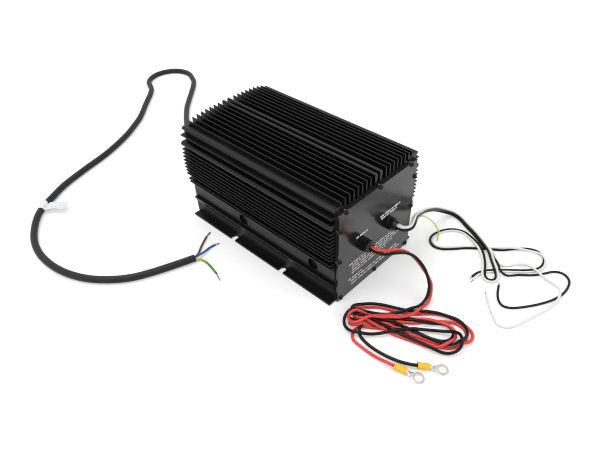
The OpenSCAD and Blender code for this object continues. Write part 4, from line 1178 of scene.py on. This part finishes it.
    def rough_line(self, phase: float, turns: Sequence, tail: Sequence, ending: RingTerminal,
                   back: float) -> np.ndarray:
        """Joins a lead's three stretches.

        Args:
            phase: Its side of the pair.
            turns: Its course through the hank, with wide gaps between the layers.
            tail: Its course to its terminal.
            ending: Its terminal.
            back: Distance before the sleeve at which the tail meets its axis.

        Returns:
            Evenly spaced points.
        """
        pair = strand(self.out, self.diameter / 2 + self.beside, phase)
        lifted = [(x, y, z + (z - self.lowest) * self.spread + self.stagger * phase / 180)
                  for x, y, z in turns]
        ends = [ending.point(a) for a in (-back, 0.0, 5.0)]
        return even_line(smooth_line([*pair, *lifted, *tail, *ends], 1.0), self.step)

    def settle(self, lines: list[np.ndarray]) -> list[np.ndarray]:
        """Lets the leads sink onto the floor and onto each other.

        Args:
            lines: Both leads' points.

        Returns:
            The points at rest.
        """
        points = np.concatenate(lines)
        plan = points.copy()
        owner = np.concatenate([np.full(len(line), n) for n, line in enumerate(lines)])
        order = np.concatenate([np.arange(len(line)) for line in lines])
        counts = np.array([len(line) for line in lines])[owner]
        since, until = order - self.held[0], counts - self.held[1] - order
        weight = np.clip(since / self.freed[0], 0, 1) * np.clip(until / self.freed[1], 0, 1)
        own = math.ceil(self.diameter * self.own_stretch / self.step)
        wide = self.diameter + self.clear
        first = second = np.zeros(0, dtype=int)
        for turn in range(self.turns):
            pulled = turn < self.pull_turns
            if turn % 5 == 0:  # what is near what changes slowly
                gap = np.linalg.norm(points[:, None, :] - points[None, :, :], axis=2)
                near = (gap < 2 * wide) & ((owner[:, None] != owner[None, :])
                                           | (np.abs(order[:, None] - order[None, :]) > own))
                first, second = np.nonzero(np.triu(near))
            move = np.zeros_like(points)
            if pulled:
                move[:, :2] += self.pull * (plan - points)[:, :2]
            if turn < self.fall_turns:
                move[:, 2] -= self.fall
            ahead = np.gradient(points, axis=0)[:, :2]
            ahead /= np.maximum(np.linalg.norm(ahead, axis=1), 1e-6)[:, None]
            turned = ahead[first, 0] * ahead[second, 1] - ahead[first, 1] * ahead[second, 0]
            cross = np.abs(turned) > self.crossing
            self.part(points, move, first[~cross], second[~cross], wide, self.give)
            self.stack(points, move, plan, first[cross], second[cross], wide)
            for reach in self.spans:
                head = np.nonzero(owner[reach:] == owner[:-reach])[0]
                chord = 2 * self.bend * math.sin(reach * self.step / 2 / self.bend)
                self.part(points, move, head, head + reach, chord, self.stiff)
            inner = np.nonzero(owner[2:] == owner[:-2])[0] + 1
            sag = 0.5 * (points[inner - 1] + points[inner + 1]) - points[inner]
            move[inner] += self.ease[0 if pulled else 1] * sag
            points += np.clip(move, -self.most, self.most) * weight[:, None]
            points[:, 2] = np.maximum(points[:, 2], self.diameter / 2)
        return [even_line(smooth_line(points[owner == n], 1.5), self.step) for n in range(len(lines))]

    def stack(self, points: np.ndarray, move: np.ndarray, plan: np.ndarray, first: np.ndarray,
              second: np.ndarray, wide: float) -> None:
        """Adds the moves that keep crossing stretches over each other, in their planned order.

        Args:
            points: All points.
            move: Their moves, which this adds to.
            plan: Where they began.
            first: First point of each pair.
            second: Second point of each pair.
            wide: Least distance of the two centres.
        """
        apart = points[first] - points[second]
        side = np.where(plan[first, 2] >= plan[second, 2], 1.0, -1.0)
        need = np.sqrt(np.clip(wide ** 2 - apart[:, 0] ** 2 - apart[:, 1] ** 2, 0, None))
        lack = np.where(need > 0, np.clip(need - side * apart[:, 2], 0, wide), 0.0) * side * self.give
        np.add.at(move[:, 2], first, lack)
        np.add.at(move[:, 2], second, -lack)

    @staticmethod
    def part(points: np.ndarray, move: np.ndarray, first: np.ndarray, second: np.ndarray, least: float,
             share: float) -> None:
        """Adds the moves that push pairs of points apart.

        Args:
            points: All points.
            move: Their moves, which this adds to.
            first: First point of each pair.
            second: Second point of each pair.
            least: Least distance in a pair.
            share: Share of what is missing that each point moves.
        """
        apart = points[first] - points[second]
        far = np.maximum(np.linalg.norm(apart, axis=1), 1e-6)
        push = (np.clip(least - far, 0, None) / far * share)[:, None] * apart
        np.add.at(move, first, push)
        np.add.at(move, second, -push)

    def build(self) -> None:
        """Makes both terminals and both leads."""
        red = self.rough_line(0, self.red_turns, self.red_tail, self.red_end, back=8.0)
        black = self.rough_line(180, self.black_turns, self.black_tail, self.black_end, back=6.0)
        red, black = self.settle([red, black])
        leads = (("red", RED_PVC, 1250.0, red, self.red_end),
                 ("black", BLACK_PVC, 1235.0, black, self.black_end))
        for name, finish, length, line, ending in leads:
            facts = CordFacts(f"{name}_output_lead", (f"{name}_lead", "lead_hank", f"{name}_lead_tail"),
                              f"{name}_insulation", finish, self.diameter, length, "connector", "medium",
                              sides=14)
            facts.lay(line + np.array([0.0, -FACE, 0.0]), "coiled", ending.build())


@dataclass
class SignalWires:
    """Two black and white pairs and a thin sensing wire, loose in front of the plate."""

    wire: float = 3.0
    thin: float = 2.0
    beside: float = 0.2  # half the gap between two wires
    bared: float = 5.0  # how far the strands stand out
    strands: float = 1.3  # width of their bunch
    bundle: tuple = (  # all four wires, and after it each pair, with the roll in degrees last
        (20, -14.5, 75, -10), (20, -19.5, 75, -10), (21.2, -24, 75, -20), (24.4, -27.4, 75, -30),
        (29, -28.8, 75, -35), (34, -28, 74.7, -40), (39.5, -26, 73.7, -45), (46, -23, 71.8, -45),
        (54, -19, 68.5, -45), (70, -13, 61, -45), (92, -8, 50.5, -45), (113, -5, 39.5, -45),
        (132, -4, 28.5, -50), (148, -5, 17.5, -60), (160, -9, 9.5, -70), (167, -17, 5, -80),
        (166, -29, 3.6, -90), (158, -45, 3.8, -90), (149, -62, 5, -90), (136, -82, 6.9, -90))
    first_pair: tuple = (
        (127.5, -95.5, 7.8, 0), (119, -104.5, 5.6, 0), (111, -112, 5.1, 0), (104, -118.5, 5.1, 0),
        (100.5, -121.5, 4.6, 0), (97, -124.5, 3.8, 0), (93, -126.5, 2.8, 0), (88.5, -126, 2.2, 0),
        (85, -123.5, 2, 0), (83, -119.5, 2.2, 0), (83.5, -115, 3, 0), (86, -111.5, 4.2, 0), (90, -109, 5, 0),
        (94.5, -106.5, 5.1, 0), (102, -102.5, 5, 0), (111, -97, 4.2, 0), (120, -90, 4.2, 0), (128, -81, 5, 0),
        (135, -70, 4.2, 0), (141.5, -58, 2, 0), (144, -48, 1.7, 0), (141, -37, 1.7, 0), (133, -28, 1.7, 0),
        (121, -22, 1.7, 0), (108, -20, 1.7, 0), (98, -24, 1.7, 0), (93, -33, 1.7, 0), (96, -43, 1.7, 0),
        (106, -54, 1.7, 0), (118, -65, 1.6, 0), (129, -78, 1.6, 0), (139, -92, 1.7, 0), (147, -104, 2.9, 45),
        (155, -113, 3.5, 90), (163, -121, 2.9, 135), (170, -130, 1.9, 180), (174, -140, 1.9, 180),
        (172, -150, 3, 135), (164, -157, 3.5, 70), (153, -160, 2.4, 20), (142, -157, 1.7, 0),
        (132, -149, 1.7, 0), (123, -139, 1.7, 0), (114, -128, 1.6, 0), (104, -117, 1.6, 0),
        (95, -109, 1.6, 0), (85, -104, 1.6, 0))
    pair_ends: tuple = ((76, -101, 1.6), (71, -105, 1.6))
    second_pair: tuple = ((133, -93, 4.8, 0), (127, -104, 2.6, 0))
    black_rest: tuple = (
        (118, -112.8, 5), (110, -120.5, 5.1), (105.5, -127, 4.2), (106.5, -133, 2.5), (111.5, -138, 1.7),
        (117.5, -143, 1.6), (123, -149.5, 1.6), (129, -156.5, 1.6), (136, -162.5, 1.6), (144, -168, 1.6),
        (153, -174, 1.6), (158, -182, 1.6), (157, -190, 1.6), (150, -197, 1.6), (138, -200, 1.6),
        (125, -200, 1.6), (112, -197, 1.6), (100, -192, 1.6), (86, -184, 1.6), (72, -174, 1.6),
        (61, -164, 1.6), (57, -155, 1.6), (61, -147, 1.6), (71, -140, 1.6), (85, -134, 1.6))
    white_rest: tuple = (
        (121, -114, 1.7), (120, -121, 1.6), (126, -127, 1.6), (134, -133, 1.8), (139, -141, 3.4),
        (139.5, -149, 4.9), (137, -159, 5), (134.5, -169, 3.6), (133.5, -178, 2), (131.5, -187, 2.8),
        (125, -195, 4.8), (115, -199, 5), (103, -200, 3.4), (89, -197, 1.7), (72, -192, 1.6), (56, -187, 1.6),
        (44, -183, 1.6), (34, -178, 1.6), (28, -172, 1.6), (27, -163, 1.6), (34, -154, 1.6),
        (46, -142, 1.6), (60, -130, 1.6))
    sensing: tuple = (
        (23.3, -14.5, 71.7), (23.5, -19.5, 71.7), (25.2, -23.4, 71.8), (28.3, -25.6, 71), (33, -26.4, 70),
        (38, -25.3, 69), (43, -23.6, 67.5), (48, -21.5, 65.7), (52.5, -18.5, 63.8), (58, -15.8, 61.2),
        (65, -13, 57.6), (73, -10.8, 54), (82, -10.9, 49.6), (90, -12, 45.8), (97.5, -14.3, 38.5),
        (104.5, -17.3, 30.5), (110.5, -20.3, 21), (114.5, -22.6, 12), (116, -24, 6), (114, -25.5, 2.4),
        (109, -27.5, 1.2))

    def build(self) -> None:
        """Makes the four wires, the sensing wire and their tinned tips."""
        gap = self.wire / 2 + self.beside
        first, second = ([self.bundle[-1], *pair] for pair in (self.first_pair, self.second_pair))
        courses = (
            ("black_signal_wire_a", BLACK_PVC, 772.0, 225, strand(first, gap, 180)[1:], self.pair_ends[:1]),
            ("white_signal_wire_a", WHITE_PVC, 778.0, 135, strand(first, gap, 0)[1:], self.pair_ends[1:]),
            ("black_signal_wire_b", BLACK_PVC, 548.0, 315, strand(second, gap, 180)[1:], self.black_rest),
            ("white_signal_wire_b", WHITE_PVC, 553.0, 45, strand(second, gap, 0)[1:], self.white_rest),
        )
        slots = {BLACK_PVC: "black_insulation", WHITE_PVC: "white_insulation"}
        for name, finish, length, side, paired, rest in courses:
            bundled = strand(self.bundle, gap * math.sqrt(2), side)
            self.wire_of(CordFacts(f"{name}_run", (name,), slots[finish], finish, self.wire, length, "bare",
                                   "limp"), smooth_line([*bundled, *paired, *rest], 2.0))
        self.wire_of(CordFacts("sensing_wire_run", ("sensing_wire",), "yellow_insulation", YELLOW_PVC,
                               self.thin, 144.0, "bare", "limp"), smooth_line(self.sensing, 1.5))

    def wire_of(self, facts: CordFacts, line: np.ndarray) -> None:
        """Makes one wire and the strands that stand out of its end.

        Args:
            facts: The wire.
            line: Its points in the front plate's frame.
        """
        line = line + np.array([0.0, -FACE, 0.0])
        ahead = line[-1] - line[-3]
        ahead[2] = 0.0
        wires = twisted_strands(line[-1], line[-1] + self.bared * unit(ahead), self.strands)
        tip = tube_object(f"{facts.name}_tip", wires, TINNED)
        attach(tip, "root")
        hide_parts("wire_tips")
        facts.lay(line, ends=[tip])


# The case


@dataclass
class PlatePrint:
    """Plain white bars on the front plate, where a real one has its lines of print.

    A line is its left end, right end, height on the plate and the height of its bars.
    """

    thick: float = 0.06
    sunk: float = 0.01  # how far a bar reaches into the plate
    rounding: float = 0.32  # of its corners, as a share of its height
    words: tuple[float, ...] = (5.5, 10.5, 3.0, 7.5, 12.0, 4.5, 8.5, 2.5, 9.5)
    space: float = 1.5
    shortest: float = 2.0
    lines: tuple = (
        (-42, -20, 86.5, 2.6), (4, 48, 90.5, 2.6), (6, 40, 86, 2.6), (-54, 32.6, 50, 1.8),
        (-48, 43, 45.6, 1.6), (-48, 51, 41.2, 1.6), (-48, 35, 36.8, 1.6), (-48, 21, 32.4, 1.6),
        (-54, -27, 24, 1.9), (-49, 49, 19, 1.9), (-48, 54, 13.5, 1.9))

    def bar(self, left: float, right: float, level: float, tall: float) -> bpy.types.Object:
        """Makes one bar with round corners.

        Args:
            left: Its left end.
            right: Its right end.
            level: Height of its middle.
            tall: Its height.

        Returns:
            The bar.
        """
        select_none()
        bpy.ops.mesh.primitive_plane_add(size=1, rotation=(math.pi / 2, 0, 0))
        bar = bpy.context.active_object
        bar.scale = ((right - left) * MM, tall * MM, 1)
        bar.location = ((left + right) / 2 * MM, (self.sunk - FACE) * MM, level * MM)
        bpy.ops.object.transform_apply(location=True, rotation=True, scale=True)
        with editing(bar, "VERT") as pick:
            pick(lambda middle, normal: True)
            bpy.ops.mesh.bevel(offset=self.rounding * tall * MM, segments=3, affect="VERTICES")
            bpy.ops.mesh.select_all(action="SELECT")
            bpy.ops.mesh.extrude_region_move(TRANSFORM_OT_translate={"value": (0, -self.thick * MM, 0)})
            bpy.ops.mesh.select_all(action="SELECT")
            bpy.ops.mesh.normals_make_consistent(inside=False)
        return bar

    def build(self) -> None:
        """Sets the bars line by line, as words of changing length."""
        bars = []
        count = 0
        for left, right, level, tall in self.lines:
            x = float(left)
            while right - x > self.shortest:
                end = min(x + self.words[count % len(self.words)], right)
                bars.append(self.bar(x, end, level, tall))
                x = end + self.space
                count += 1
        whole = join("front_print", bars)
        dress(whole, INK)
        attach(whole, "root")
        log.info("plate print with %d bars", len(bars))


@dataclass
class Case:
    """The case, its grips and what is inside, which keep their own solids."""

    finishes: dict[str, Finish] = field(default_factory=lambda: {
        "finned_cover": ANODISED, "base_tray": ANODISED_SHEET,
        "front_plate": PLATE_ENAMEL, "rear_plate": PLATE_ENAMEL,
        "front_gasket": GASKET, "rear_gasket": GASKET,
        "front_screws": BLACK_STEEL, "rear_screws": BLACK_STEEL, "pocket_screws": BLACK_STEEL,
        "output_grip": NYLON, "output_grip_nut": NYLON, "output_lock_nut": NYLON, "output_seal": SEAL_RUBBER,
        "signal_grip": NYLON, "signal_grip_nut": NYLON, "signal_lock_nut": NYLON, "signal_seal": SEAL_RUBBER,
        "mains_grip": NYLON, "mains_grip_nut": NYLON, "mains_lock_nut": NYLON, "mains_seal": SEAL_RUBBER,
        "left_heat_bar": MILLED_BAR, "right_heat_bar": MILLED_BAR,
        "circuit_board": BOARD, "board_standoffs": BRASS, "board_screws": ZINC,
        "transformer_core": FERRITE, "transformer_winding": WINDING,
        "output_choke_core": FERRITE, "output_choke_winding": WINDING, "filter_choke": FERRITE,
        "bulk_capacitors": CAN_SLEEVE, "switching_transistors": DEVICE, "rectifier_diodes": DEVICE,
        "relay": RELAY_CASE, "fuse": CERAMIC, "input_terminals": BLOCK, "output_terminals": BLOCK,
    })

    def build(self) -> None:
        """Dresses each solid and prints the front plate."""
        for name, finish in self.finishes.items():
            dress(frame["nodes"][name], finish)
        log.info("case with %d dressed solids", len(self.finishes))
        PlatePrint().build()


def main() -> None:
    """Builds the scene in order and keeps both sizes."""
    logging.basicConfig(level=logging.INFO, format="%(name)s: %(message)s")
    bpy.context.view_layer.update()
    Viewpoint().build()
    MainsLead().build()
    OutputLeads().build()
    SignalWires().build()
    Case().build()
    Studio().build()


if __name__ == "__main__":
    main()
